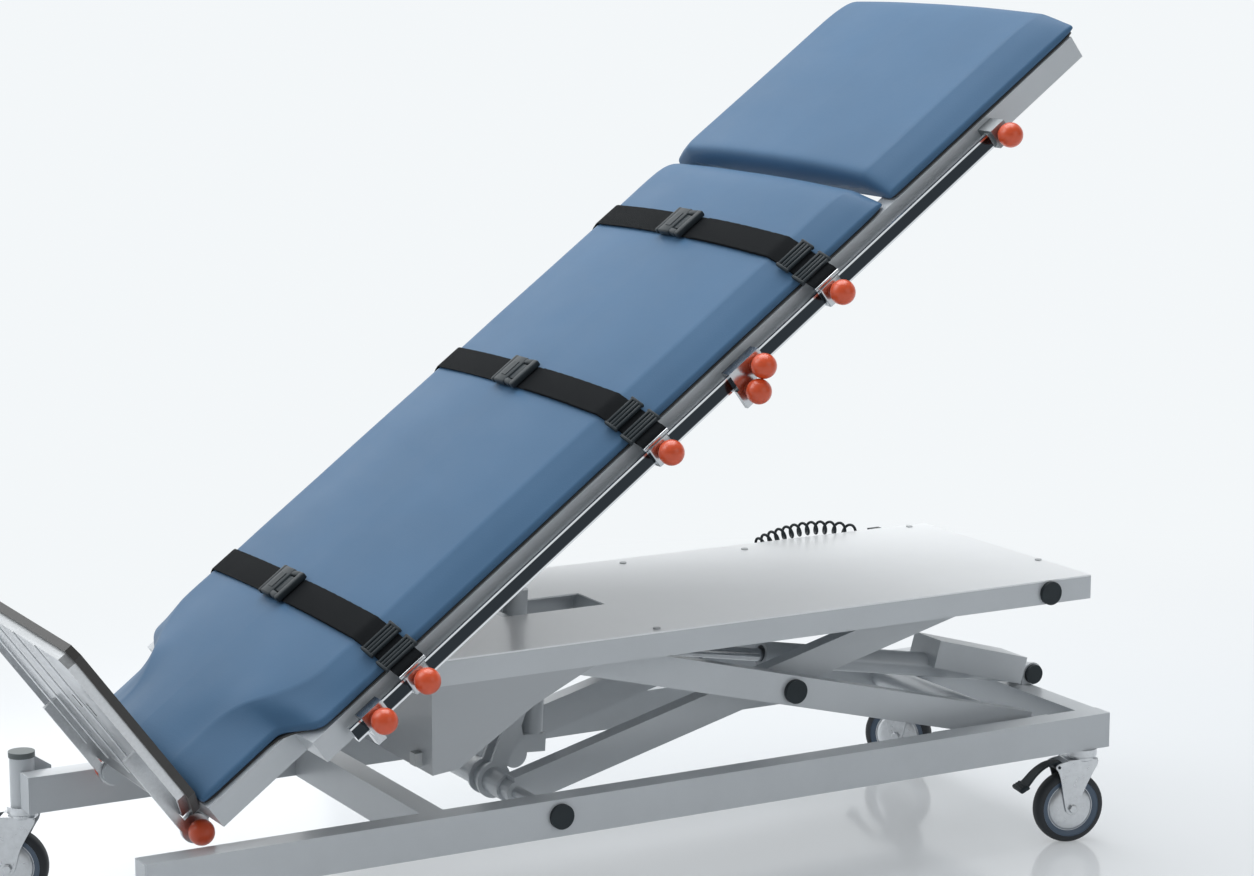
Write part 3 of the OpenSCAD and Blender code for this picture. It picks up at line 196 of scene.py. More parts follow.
def mix_colour(tree, factor, low, high):
    """Colour socket that goes from one colour to another, either of them a socket or a plain colour."""
    mix = tree.nodes.new("ShaderNodeMixRGB")
    tree.links.new(factor, mix.inputs["Fac"])
    for name, value in (("Color1", low), ("Color2", high)):
        set_input(tree, mix.inputs[name], (*value, 1) if isinstance(value, tuple) else value)
    return mix.outputs["Color"]


# How deep the bumps of each kind of surface are, in metres
PAINT_DEPTH = 0.0004
METAL_DEPTH = 0.0003
VINYL_DEPTH = 0.0006
WEBBING_DEPTH = 0.0008

# Texture scales, in cells per metre
DRIFT_SCALE = 6.0
VINYL_DRIFT_SCALE = 3.5
VINYL_FOLD_SCALE = 16.0
VINYL_CELLS = 520.0
WEBBING_RIBS = 260.0
WEBBING_FUZZ = 700.0

COAT_ROUGHNESS = 0.12
FOLD_SHARE = 1.6


def coated(name, colour, rough=0.4, metallic=0.0, grain=900.0, bump_strength=0.06, spread=0.05, coat=0.0,
           zones=(), gloss=0.5):
    """Paint or moulded plastic: fine grain, slow drift, uneven gloss, and zones of other colours."""
    mat, tree, shader = new_material(name)
    vector = object_coords(tree)
    drift = noise_texture(tree, vector, DRIFT_SCALE, 5.0, 0.6)
    tone = colour_ramp(tree, drift, shade(colour, 1 - spread), shade(colour, 1 + spread))
    for limits, other in zones:
        tone = mix_colour(tree, zone_mask(tree, limits), tone, other)
    tree.links.new(tone, shader.inputs["Base Color"])
    fine = noise_texture(tree, vector, grain, 2.0, 0.5)
    tree.links.new(value_range(tree, drift, rough * 0.85, rough * 1.15), shader.inputs["Roughness"])
    bump(tree, shader, fine, bump_strength, PAINT_DEPTH)
    shader.inputs["Metallic"].default_value = metallic
    shader.inputs["Specular IOR Level"].default_value = gloss
    shader.inputs["Coat Weight"].default_value = coat
    shader.inputs["Coat Roughness"].default_value = COAT_ROUGHNESS
    return mat


def brushed(name, colour, rough, along, strength):
    """Bare metal with fine lines along one direction."""
    mat, tree, shader = new_material(name)
    lines = noise_texture(tree, object_coords(tree, along), 3.0, 6.0, 0.6)
    tree.links.new(colour_ramp(tree, lines, shade(colour, 0.9), shade(colour, 1.06), 0.3, 0.7),
                   shader.inputs["Base Color"])
    tree.links.new(value_range(tree, lines, rough * 0.7, rough * 1.3), shader.inputs["Roughness"])
    bump(tree, shader, lines, strength, METAL_DEPTH)
    shader.inputs["Metallic"].default_value = 1.0
    return mat


def vinyl(name, colour):
    """Coated upholstery fabric: pebbled grain, uneven gloss and slow shifts of tone."""
    mat, tree, shader = new_material(name)
    vector = object_coords(tree)
    drift = noise_texture(tree, vector, VINYL_DRIFT_SCALE, 4.0, 0.55)
    tree.links.new(colour_ramp(tree, drift, shade(colour, 0.94), shade(colour, 1.06), 0.3, 0.7),
                   shader.inputs["Base Color"])
    cells = add_node(tree, "ShaderNodeTexVoronoi", Scale=VINYL_CELLS, feature="SMOOTH_F1")
    tree.links.new(vector, cells.inputs["Vector"])
    folds = noise_texture(tree, object_coords(tree, (1, 0.5, 1)), VINYL_FOLD_SCALE, 5.0, 0.6)
    height = math_node(tree, "MULTIPLY_ADD", folds, FOLD_SHARE, cells.outputs["Distance"])
    bump(tree, shader, height, 0.16, VINYL_DEPTH)
    tree.links.new(value_range(tree, folds, 0.36, 0.5), shader.inputs["Roughness"])
    shader.inputs["Specular IOR Level"].default_value = 0.13
    return mat


def webbing(name, colour):
    """Woven strap: ribs across the band and fuzz over them."""
    mat, tree, shader = new_material(name)
    vector = object_coords(tree)
    ribs = add_node(tree, "ShaderNodeTexWave", Scale=WEBBING_RIBS, Distortion=0.4,
                    bands_direction="DIAGONAL")
    tree.links.new(vector, ribs.inputs["Vector"])
    fuzz = noise_texture(tree, vector, WEBBING_FUZZ, 3.0, 0.6)
    weave = math_node(tree, "ADD", ribs.outputs["Fac"], fuzz)
    tree.links.new(colour_ramp(tree, weave, shade(colour, 0.6), shade(colour, 1.7), 0.2, 0.8),
                   shader.inputs["Base Color"])
    bump(tree, shader, weave, 0.4, WEBBING_DEPTH)
    shader.inputs["Roughness"].default_value = 0.7
    shader.inputs["Specular IOR Level"].default_value = 0.05
    return mat


# Colours of the polished rail, with its reflection painted in: a painted highlight on its edges, a painted
# dark reflection on its broad face, painted highlight bands along its top and bottom, and the grey socket;
# the distances from its middle where these painted bands begin and end, and the extra roughness of the
# socket at its head end
RAIL_EDGE_PAINTED_HIGHLIGHT = (0.80, 0.82, 0.84)
RAIL_FACE_PAINTED_REFLECTION = (0.03, 0.036, 0.042)
RAIL_BAND_PAINTED_HIGHLIGHT = (0.72, 0.74, 0.76)
SOCKET_GREY = (0.30, 0.32, 0.33)
PAINTED_BAND_REACH = (0.0088, 0.0100)
SOCKET_ROUGHNESS = 0.4


def rail_painted_reflection(name):
    """Polished rail with its reflection painted in: a painted dark reflection on its broad face, painted
    highlights on its edges and in bands along its top and bottom.
    """
    mat, tree, shader = new_material(name)
    facing = math_node(tree, "ABSOLUTE", split_axes(tree, "Normal")["Y"])
    # Painted reflection: faces square to the rail's side are painted dark, its edges painted bright
    tone = colour_ramp(tree, facing, RAIL_EDGE_PAINTED_HIGHLIGHT, RAIL_FACE_PAINTED_REFLECTION, 0.8, 0.97)
    place = tree.nodes.new("ShaderNodeTexCoord").outputs["Object"]
    height = math_node(tree, "DOT_PRODUCT", place, RAIL_UP, kind="ShaderNodeVectorMath")
    off = math_node(tree, "ABSOLUTE",
                    math_node(tree, "SUBTRACT", height, on_top(0, 0, BAR_MID_H).dot(RAIL_UP)))
    # Painted highlight bands along the top and bottom of the broad face
    tone = mix_colour(tree, value_range(tree, off, 0.0, 1.0, *PAINTED_BAND_REACH), tone, RAIL_BAND_PAINTED_HIGHLIGHT)
    along = math_node(tree, "DOT_PRODUCT", place, RAIL_DIR, kind="ShaderNodeVectorMath")
    socket = math_node(tree, "GREATER_THAN", along, on_top(SOCKET_S, 0, BAR_MID_H).dot(RAIL_DIR))
    tree.links.new(mix_colour(tree, socket, tone, SOCKET_GREY), shader.inputs["Base Color"])
    smear = noise_texture(tree, object_coords(tree, (3, 60, 60)), 4.0, 4.0, 0.6)
    rough = math_node(tree, "MULTIPLY_ADD", socket, SOCKET_ROUGHNESS, value_range(tree, smear, 0.06, 0.16))
    tree.links.new(rough, shader.inputs["Roughness"])
    shader.inputs["Metallic"].default_value = 1.0
    return mat


PAINT = (0.55, 0.578, 0.60)
DARK = (0.027, 0.035, 0.040)
PALE_PAINT = (0.90, 0.92, 0.93)
DECK_EDGE_GREY = (0.44, 0.465, 0.485)
POST_CAP_GREY = (0.15, 0.17, 0.17)
SCREW_GREY = (0.55, 0.57, 0.58)
FOOT_CAP_GREY = (0.62, 0.64, 0.64)

# Zones of other colours on nodes that hold several small pieces, by their place in the frame
DECK_ZONES = [([("Z", 0.0, 0.4605)], DECK_EDGE_GREY)]
# The base rails' foot-end plates wear the frame paint made a tenth lighter, a painted highlight on these end
# faces
CAP_ZONES = [([("X", -1.2, -0.70), ("Z", 0.0, 0.24)], shade(PAINT, 1.1)),
             ([("X", -1.2, -0.70), ("Z", 0.24, 0.6)], POST_CAP_GREY),
             ([("X", 0.90, 1.2), ("Y", -0.5, -0.18)], PAINT),
             ([("X", 0.90, 1.2), ("Y", 0.22, 0.6)], PAINT)]
TRIM_ZONES = [([("Z", 0.4622, 0.6)], SCREW_GREY), ([("X", -0.6, -0.353)], FOOT_CAP_GREY)]

DARK_PLASTIC = {"rough": 0.42, "grain": 700.0, "bump_strength": 0.12, "spread": 0.15}

# Coated ones give roughness, metallic, grain, bump strength, spread of tone and coat, in this order.
# Brushed ones give roughness, the scale of their lines along each axis and bump strength.
MATERIALS = {
    "frame_paint": coated("silver_paint", PAINT, 0.36, 0.2, 1400.0, 0.05, 0.03, 0.15),
    "deck_paint": coated("pale_paint", PALE_PAINT, 0.3, 0.0, 1400.0, 0.05, 0.015, 0.2, DECK_ZONES),
    "dark_plastic": coated("dark_plastic", DARK, gloss=0.18, **DARK_PLASTIC),
    "caps": coated("cap_plastic", DARK, zones=CAP_ZONES, gloss=0.2, **DARK_PLASTIC),
    "deck_trim": coated("trim_plastic", DARK, zones=TRIM_ZONES, gloss=0.2, **DARK_PLASTIC),
    "zinc": brushed("zinc_plate", (0.66, 0.68, 0.70), 0.3, (30, 30, 30), 0.1),
    "rubber": coated("tyre_rubber", (0.028, 0.032, 0.037), 0.6, 0.0, 600.0, 0.2, 0.2),
    "rim": coated("rim_plastic", (0.095, 0.135, 0.19), 0.38, 0.0, 700.0, 0.08, 0.08),
    "chrome": brushed("chrome", (0.52, 0.54, 0.56), 0.2, (20, 20, 20), 0.04),
    # The accessory rails' reflection and highlights are painted into their colour
    "mirror": rail_painted_reflection("rail_with_painted_reflection"),
    "aluminium": brushed("aluminium", (0.62, 0.635, 0.65), 0.34, (60, 4, 60), 0.06),
    "knob_orange": coated("orange_plastic", (0.70, 0.085, 0.022), 0.32, 0.0, 500.0, 0.06, 0.06, 0.25),
    "upholstery": vinyl("blue_vinyl", (0.070, 0.150, 0.262)),
    "webbing": webbing("black_webbing", (0.0055, 0.0065, 0.0075)),
    "footboard": coated("dark_laminate", (0.04, 0.038, 0.036), 0.4, 0.0, 300.0, 0.1, 0.15),
    "key_grey": coated("key_plastic", (0.55, 0.57, 0.58), 0.4, 0.0, 700.0, 0.08, 0.05),
}

# Which material each carried-over CAD node wears
NODE_MATERIALS = {
    "frame_paint": ["base_rails", "base_cross_members", "foot_posts", "inner_arm_frame", "outer_arm_frame",
                    "deck_frame", "pillow_blocks", "table_frame", "tilt_actuator", "lift_actuator"],
    "deck_paint": ["deck_cover"],
    "dark_plastic": ["mid_pivots", "handset"],
    "caps": ["base_caps"],
    "deck_trim": ["deck_fittings"],
    "zinc": ["base_roller_shaft", "deck_roller_near", "deck_roller_far", "caster_heads"],
    "chrome": ["lift_rod", "tilt_rod", "foot_clamp", "double_clamp"],
    "mirror": ["accessory_rails"],
    "aluminium": ["footplate_frame"],
    "footboard": ["footplate_board", "table_board", "head_board"],
    "key_grey": ["height_rocker", "tilt_rocker"],
}


NODE_ROUNDING = 0.0012
FORK_ROUNDING = 0.0006
SHARP_ANGLE = 32.0


def soften(obj, width):
    """Rounds the sharp edges of a piece a little, so that they catch the light."""
    mod = obj.modifiers.new("edge_rounding", "BEVEL")
    mod.width = width
    mod.segments = 2
    mod.limit_method = "ANGLE"
    mod.angle_limit = radians(SHARP_ANGLE)
    mod.use_clamp_overlap = True
    mod.harden_normals = False


def dress_nodes():
    """Gives each carried-over CAD node its material and rounded edges."""
    for key, nodes in NODE_MATERIALS.items():
        for name in nodes:
            obj = frame["nodes"][name]
            obj.data.materials.clear()
            obj.data.materials.append(MATERIALS[key])
            soften(obj, NODE_ROUNDING)


# Mesh helpers


def finish_mesh(name, bm, mats, body, smooth_angle, replaced=()):
    """Turns a bmesh in the frame's coordinates into a piece that rides on a body."""
    bmesh.ops.recalc_face_normals(bm, faces=bm.faces)
    mesh = bpy.data.meshes.new(name)
    bm.to_mesh(mesh)
    bm.free()
    for mat in mats:
        mesh.materials.append(MATERIALS[mat])
    obj = bpy.data.objects.new(name, mesh)
    bpy.context.scene.collection.objects.link(obj)
    for poly in mesh.polygons:
        poly.use_smooth = True
    mesh.set_sharp_from_angle(angle=radians(smooth_angle))
    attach(obj, body)
    if replaced:
        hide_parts(*replaced)
    return obj


def add_box(bm, matrix, size, rounding, segments, mat=0):
    """Box centred on a matrix, with rounded edges."""
    verts = bmesh.ops.create_cube(bm, size=1.0)["verts"]
    bmesh.ops.scale(bm, vec=size, verts=verts)
    faces = {face for vert in verts for face in vert.link_faces}
    edges = list({edge for vert in verts for edge in vert.link_edges})
    result = bmesh.ops.bevel(bm, geom=edges, offset=rounding, segments=segments, profile=0.5,
                             affect="EDGES")
    kept = [face for face in faces if face.is_valid]
    for face in result["faces"] + kept:
        face.material_index = mat
    verts = list({vert for face in result["faces"] for vert in face.verts}
                 | {vert for face in kept for vert in face.verts})
    bmesh.ops.transform(bm, matrix=matrix, verts=verts)


def add_lathe(bm, matrix, profile, steps):
    """Surface of revolution about the matrix's Z, from (radius, height) or (radius, height, material)."""
    rings = []
    for radius, height, *_ in profile:
        if radius == 0:
            rings.append([bm.verts.new(matrix @ Vector((0, 0, height)))])
            continue
        turns = [2 * pi * k / steps for k in range(steps)]
        rings.append([bm.verts.new(matrix @ Vector((radius * cos(a), radius * sin(a), height)))
                      for a in turns])
    for low, high, (_, _, *mat) in zip(rings, rings[1:], profile):
        if len(low) == 1 and len(high) == 1:
            continue
        for k in range(steps):
            nxt = (k + 1) % steps
            if len(low) == 1:
                corners = [low[0], high[nxt], high[k]]
            elif len(high) == 1:
                corners = [low[k], low[nxt], high[0]]
            else:
                corners = [low[k], low[nxt], high[nxt], high[k]]
            bm.faces.new(corners).material_index = mat[0] if mat else 0


def chaikin(points, rounds, closed=False):
    """Cuts the corners of a line of points, keeping its ends."""
    for _ in range(rounds):
        out = [] if closed else [points[0]]
        count = len(points)
        for i in range(count if closed else count - 1):
            a, b = points[i], points[(i + 1) % count]
            out.append(tuple(a[k] * 0.75 + b[k] * 0.25 for k in range(len(a))))
            out.append(tuple(a[k] * 0.25 + b[k] * 0.75 for k in range(len(a))))
        if not closed:
            out.append(points[-1])
        points = out
    return points


# Cushions

# Heights of the underside, the middle of the top, the bevel's upper edge and the rolled lower edge
CUSHION_BASE = 0.003
CROWN = 0.057
BEVEL_H = 0.048
EDGE_H = 0.012

# Width of the bevel at the table's full width and at the foot, and where along the table the outline
# and the bevel's upper edge widen
BEVEL_W = 0.058
FOOT_BEVEL_W = 0.105
EDGE_FLARE = (-0.022, 0.032)
RIDGE_FLARE = (-0.085, 0.095)


def smooth_step(value, limits):
    k = min(1.0, max(0.0, (value - limits[0]) / (limits[1] - limits[0])))
    return k * k * (3 - 2 * k)


def cushion_half(w, share, ridge=None, bevel=BEVEL_W):
    """Half profile from the underside at the edge to the middle of the top, as (y, h)."""
    crease = (ridge or w) - bevel
    top = CUSHION_BASE + (BEVEL_H - CUSHION_BASE) * share
    crown = CUSHION_BASE + (CROWN - CUSHION_BASE) * share
    low = CUSHION_BASE + EDGE_H * share

    def slant(k, bulge):
        return w - 0.0005 + (crease - w + 0.0005) * k, low + (top - low) * k + bulge

    under = [(w - 0.012, CUSHION_BASE + 0.0005), (w - 0.001, CUSHION_BASE + 0.001)]
    side = [slant(0.0, 0.0), slant(0.14, 0.0005), slant(0.5, 0.0018 * share), slant(0.86, 0.0006),
            slant(1.0, 0.0)]
    over = [(crease - 0.014, top + 0.0008), (crease * 0.5, top + (crown - top) * 0.88), (0.0, crown)]
    return chaikin(under + side + over, 3)


# Rounding at both ends of the cushions as shares: distance along, half width and height
MAIN_FOOT_SHARES = [(0, 0.965, 0.30), (0.002, 0.98, 0.55), (0.006, 0.992, 0.78), (0.014, 0.999, 0.93)]
MAIN_FLARE_SHARES = [0.028, 0.045, 0.06, 0.075, 0.087, 0.096, 0.103, 0.108, 0.1115, 0.1145, 0.1175,
                     0.12, 0.123, 0.1255, 0.128, 0.132, 0.139, 0.148, 0.158, 0.17, 0.182]
MAIN_HEAD_SHARES = [(0.94, 1, 1), (0.96, 0.9995, 0.995), (0.973, 0.998, 0.965), (0.983, 0.995, 0.90),
                    (0.991, 0.99, 0.78), (0.9965, 0.983, 0.62), (0.9993, 0.975, 0.45), (1, 0.967, 0.32)]
HEAD_SHARES = [(0, 0.978, 0.2), (0.0008, 0.984, 0.45), (0.003, 0.989, 0.70), (0.009, 0.993, 0.87),
               (0.018, 0.996, 0.945), (0.03, 0.998, 0.985), (0.05, 0.999, 1), (0.09, 1, 1), (0.2, 1, 1),
               (0.35, 1, 1), (0.5, 1, 1), (0.65, 1, 1), (0.78, 1, 0.998), (0.85, 1, 0.985),
               (0.9, 0.999, 0.955), (0.94, 0.997, 0.90), (0.968, 0.993, 0.82), (0.987, 0.987, 0.70),
               (0.997, 0.976, 0.54), (1, 0.962, 0.34)]

# Plain rows of the main cushion between its flare and its head end
PLAIN_START = 0.2
PLAIN_STEP = 0.05
PLAIN_ROWS = 15
END_MIDDLE_H = 0.008

# Depths of the unevenness, in metres, and where the foot part swells and folds, as (s, y)
PUCKER = 0.0011
PUCKER_WAVES = 26.0
PUCKER_START = 0.72
SOFT_SWELL = 0.0011
SOFT_SINK = 0.0006
STRAP_PRESS = 0.0009
STRAP_REACH = 0.055
FOOT_SWELL = 0.0050
FOOT_BULGE, FOOT_BULGE_REACH = (-0.020, 0.190), (0.05, 0.05)
FOOT_FOLD, FOOT_FOLD_REACH = (-0.110, 0.120), (0.05, 0.07)


def dome(s, y, centre, reach):
    """Smooth hill of height one at a place and its mirror image across the table."""
    return exp(-((s - centre[0]) / reach[0]) ** 2 - ((abs(y) - centre[1]) / reach[1]) ** 2)


def main_rows():
    """Rows of the main cushion: distance along, half width, height, ridge half width and bevel width."""
    plain = [PLAIN_START + PLAIN_STEP * k for k in range(PLAIN_ROWS)]
    shares = MAIN_FOOT_SHARES + [(along, 1, 1) for along in MAIN_FLARE_SHARES + plain] + MAIN_HEAD_SHARES
    rows = []
    for along, wide, high in shares:
        s = FOOT_S + along * (MAIN_END_S - FOOT_S)
        edge = FOOT_HALF + (TABLE_HALF - FOOT_HALF) * smooth_step(s, EDGE_FLARE)
        spread = smooth_step(s, RIDGE_FLARE)
        ridge = FOOT_HALF + (TABLE_HALF - FOOT_HALF) * spread
        bevel = FOOT_BEVEL_W + (BEVEL_W - FOOT_BEVEL_W) * spread
        rows.append((along, edge * wide, high, ridge * wide, bevel))
    return rows


def head_rows():
    """Rows of the head cushion, which is as wide as the table all along."""
    return [(along, wide * TABLE_HALF, high, wide * TABLE_HALF, BEVEL_W)
            for along, wide, high in HEAD_SHARES]


def cushion_swell(s, y, h, start, with_straps):
    """Small hand-made unevenness, with a press under each strap and the fold at the foot of the main one."""
    edge = max(0.0, abs(y) / TABLE_HALF - PUCKER_START) / (1 - PUCKER_START)
    waves = noise.noise(Vector((s * PUCKER_WAVES, y * 4.0, start * 7.0)))
    pucker = PUCKER * edge * (1 - edge) * 4 * waves
    soft = SOFT_SWELL * noise.noise(Vector((s * 3.1 + 5.0, y * 4.0, start)))
    press = 0.0
    if with_straps:
        for place in STRAPS.values():
            press -= STRAP_PRESS * max(0.0, 1 - ((s - place) / STRAP_REACH) ** 2)
        press += FOOT_SWELL * dome(s, y, FOOT_BULGE, FOOT_BULGE_REACH)
        press -= FOOT_SWELL * dome(s, y, FOOT_FOLD, FOOT_FOLD_REACH)
    return pucker + (soft - SOFT_SINK + press) * min(1.0, max(0.0, (h - EDGE_H) / 0.03))


def add_cushion(name, node, start, length, rows, with_straps):
    """Lofted cushion from its rows, closed at both ends."""
    bm = bmesh.new()
    rings = []
    for along, half_width, high, ridge, bevel in rows:
        s = start + along * length
        half = cushion_half(half_width, high, ridge, bevel)
        line = half + [(-y, h) for y, h in reversed(half[:-1])]
        rings.append([bm.verts.new(on_top(s, y, h + cushion_swell(s, y, h, start, with_straps)))
                      for y, h in line])
    for low, high in zip(rings, rings[1:]):
        for k in range(len(low) - 1):
            bm.faces.new([low[k], low[k + 1], high[k + 1], high[k]])
        bm.faces.new([low[-1], low[0], high[0], high[-1]])
    for ring, s in ((rings[0], start), (rings[-1], start + length)):
        middle = bm.verts.new(on_top(s, 0, CUSHION_BASE + END_MIDDLE_H))
        for k in range(len(ring)):
            bm.faces.new([ring[k], ring[(k + 1) % len(ring)], middle])
    obj = finish_mesh(name, bm, ["upholstery"], "tabletop", 60.0, (node,))
    mod = obj.modifiers.new("smooth", "SUBSURF")
    mod.levels = 1
    mod.render_levels = 1
    return obj


# Straps and buckles


def normal_at(line, i):
    """Unit step square to a line of (y, h) at one of its points, to the line's left."""
    a, b = line[max(i - 1, 0)], line[min(i + 1, len(line) - 1)]
    size = ((b[0] - a[0]) ** 2 + (b[1] - a[1]) ** 2) ** 0.5
    return -(b[1] - a[1]) / size, (b[0] - a[0]) / size


def strap_line(extra):
    """Line of a strap over the cushion from its near edge to the far one, as (y, h)."""
    half = [(y, h) for y, h in cushion_half(TABLE_HALF, 1.0) if h > CUSHION_BASE + EDGE_H * 0.7]
    line = [(-y, h) for y, h in half] + [(y, h) for y, h in reversed(half[:-1])]
    steps = [normal_at(line, i) for i in range(len(line))]
    return [(y + ny * extra, h + nh * extra) for (y, h), (ny, nh) in zip(line, steps)]


# Section of a flat band: share of its half width, share of its thickness
BAND_SHAPE = [(-1, 0.3), (-0.985, 0.85), (-0.94, 1.0), (0, 1.04), (0.94, 1.0), (0.985, 0.85), (1, 0.3),
              (0.97, 0.0), (-0.97, 0.0)]


def loft(bm, rings):
    """Faces between closed rings of equal length, and over both ends."""
    for low, high in zip(rings, rings[1:]):
        for k in range(len(low)):
            nxt = (k + 1) % len(low)
            bm.faces.new([low[k], low[nxt], high[nxt], high[k]])
    bm.faces.new(rings[0])
    bm.faces.new(rings[-1])


def add_ribbon(bm, line, s, width, thick, ripple):
    """Flat band along (y, h) points at a place along the top, with rounded edges."""
    rings = []
    for i, (y, h) in enumerate(line):
        ny, nh = normal_at(line, i)
        wave = ripple * sin(i * 1.7) * sin(i * 0.43)
        rings.append([bm.verts.new(on_top(s + width / 2 * share + wave, y + ny * up * thick,
                                          h + nh * up * thick))
                      for share, up in BAND_SHAPE])
    loft(bm, rings)


def resample(line, step):
    """Points at an even step along a line of (y, h)."""
    out = [line[0]]
    rest = step
    for a, b in zip(line, line[1:]):
        size = ((b[0] - a[0]) ** 2 + (b[1] - a[1]) ** 2) ** 0.5
        while size >= rest > 0:
            k = rest / size
            a = (a[0] + (b[0] - a[0]) * k, a[1] + (b[1] - a[1]) * k)
            out.append(a)
            size -= rest
            rest = step
        rest -= size
    out.append(line[-1])
    return out


# Thickness of the webbing, its gaps to the cushion and to its lap, and where the lap lies
WEB_T = 0.0019
WEB_GAP = 0.0012
LAP_GAP = 0.0004
LAP_Y = (-0.335, -0.045)
LAP_WIDTH_SHARE = 0.98
RAIL_GAP = 0.0003
CLAMP_MIDDLE = 0.0045
CLAMP_Y = BAR_OUTER + RAIL_GAP + CLAMP_MIDDLE
PATH_STEP = 0.006


def strap_path():
    """Whole line of a strap, from the near clamp over the cushion to the far hook."""
    near = [(-CLAMP_Y, -0.006), (-CLAMP_Y + 0.001, 0.0), (-CLAMP_Y + 0.012, 0.006)]
    far = [(-y, h) for y, h in reversed(near)]
    return resample(chaikin(near + strap_line(WEB_GAP) + far, 1), PATH_STEP)


def frame_at(line, y_value, s, up):
    """Matrix on a strap line at a place across the top: x along the rails, y along the strap, z out."""
    i = min(range(len(line)), key=lambda k: abs(line[k][0] - y_value))
    a, b = line[max(i - 1, 0)], line[min(i + 1, len(line) - 1)]
    run = Vector((b[0] - a[0], b[1] - a[1])).normalized()
    y_axis = ACROSS * run.x + RAIL_UP * run.y
    z_axis = RAIL_DIR.cross(y_axis).normalized()
    rot = Matrix((RAIL_DIR, y_axis, z_axis)).transposed().to_4x4()
    place = on_top(s, line[i][0], line[i][1]) + z_axis * up
    return Matrix.Translation(place) @ rot


def add_strap(kind, s):
    """Webbing with its lap back to the buckle, then the buckle and the clamps."""
    line = strap_path()
    lap = [(y, h + WEB_T + LAP_GAP) for y, h in line if LAP_Y[0] < y < LAP_Y[1]]
    bm = bmesh.new()
    add_ribbon(bm, line, s, STRAP_W, WEB_T, 0.0003)
    add_ribbon(bm, lap, s, STRAP_W * LAP_WIDTH_SHARE, WEB_T, 0.0004)
    web = finish_mesh(f"{kind}_webbing", bm, ["webbing"], f"{kind}_strap", 50.0,
                      (f"{kind}_strap_webbing",))
    add_buckle(kind, s, line)
    add_clamp_set(kind, s)


# Buckle on the strap: place, turn, size, rounding and its segments
BUCKLE_Y = 0.012
BUCKLE_PARTS = [((0, 0.012, 0), 0, (0.059, 0.036, 0.0112), 0.0034, 3),
                ((-0.0235, -0.013, 0), -0.13, (0.0105, 0.027, 0.0098), 0.003, 3),
                ((0.0235, -0.013, 0), 0.13, (0.0105, 0.027, 0.0098), 0.003, 3),
                ((0, -0.012, -0.0006), 0, (0.034, 0.026, 0.0072), 0.002, 2),
                ((0, -0.031, 0), 0, (0.060, 0.0135, 0.0108), 0.0032, 3),
                ((0, 0.034, 0), 0, (0.060, 0.010, 0.0100), 0.003, 3),
                ((0, 0.012, 0.0059), 0, (0.032, 0.015, 0.0014), 0.0006, 1)]

# Two ribbed keepers near the near clamp: place across the top and width
KEEPERS = [(-0.312, 0.057), (-0.338, 0.059)]
KEEPER_RIBS = 4
KEEPER_PITCH = 0.006


def add_buckle(kind, s, line):
    """Side release buckle with its two tongues, and the ribbed keepers on the near side."""
    bm = bmesh.new()
    base = frame_at(line, BUCKLE_Y, s, WEB_T + 0.0050)
    for place, turn, size, rounding, segments in BUCKLE_PARTS:
        shift = Matrix.Translation(place) @ Matrix.Rotation(turn, 4, "Z")
        add_box(bm, base @ shift, size, rounding, segments)
    for place, width in KEEPERS:
        keeper = frame_at(line, place, s, WEB_T * 2 + 0.0026)
        for rib in range(KEEPER_RIBS):
            shift = Matrix.Translation((0, -0.009 + rib * KEEPER_PITCH, 0.0009 * (rib % 2)))
            add_box(bm, keeper @ shift, (width, 0.0052, 0.0062), 0.0018, 2)
        for side in (-1, 1):
            shift = Matrix.Translation((side * width / 2, 0, 0.0004))
            add_box(bm, keeper @ shift, (0.0052, 0.026, 0.0074), 0.002, 2)
    finish_mesh(f"{kind}_buckle", bm, ["dark_plastic"], f"{kind}_strap", 35.0)


# Clamp on a rail: distance out from the rail's face, height from its middle, size, rounding, segments
CLAMP_PARTS = [(0.0042, 0, (0.040, 0.0084, 0.0358), 0.0022, 3),
               (-0.00375, -0.0153, (0.040, 0.0235, 0.005), 0.0016, 2),
               (-0.0128, -0.0152, (0.040, 0.005, 0.0052), 0.0014, 2),
               (-0.00375, 0.0153, (0.040, 0.0235, 0.005), 0.0016, 2),
               (-0.0128, 0.0152, (0.040, 0.005, 0.0052), 0.0014, 2),
               (0.0042, 0.0205, (0.052, 0.0075, 0.006), 0.0022, 3)]


def add_clamp_set(kind, s):
    """Near clamp and far hook on the accessory rails, with the bar that the webbing loops round."""
    bm = bmesh.new()
    for side in (-1, 1):
        for out, up, size, rounding, segments in CLAMP_PARTS:
            place = top_matrix(s, side * (BAR_OUTER + RAIL_GAP + out), BAR_MID_H + up)
            add_box(bm, place, size, rounding, segments)
    finish_mesh(f"{kind}_clamps", bm, ["chrome"], f"{kind}_strap", 35.0, (f"{kind}_strap_clamps",))


# Knobs

KNOB_R = 0.020
KNOB_CENTRE = 0.0220
KNOB_COLLAR = [(0.0, 0.0), (0.0098, 0.0), (0.0102, 0.0006), (0.0102, 0.0042), (0.0108, 0.0062)]
BALL_START = 0.62
BALL_STEPS = 22
PARTING_DEPTH = 0.00025
PARTING_ANGLE = 0.05
KNOB_SIDES = 48
CLAMP_DEPTH = 0.009

# Knobs seat on the outer faces of the clamps, on the socket and on the footplate's lugs
CLAMP_FACE = BAR_OUTER + RAIL_GAP + CLAMP_DEPTH + RAIL_GAP
SOCKET_FACE = BAR_OUTER + 0.0093
FOOTPLATE_KNOB = (-0.190, 0.1803, -0.050)

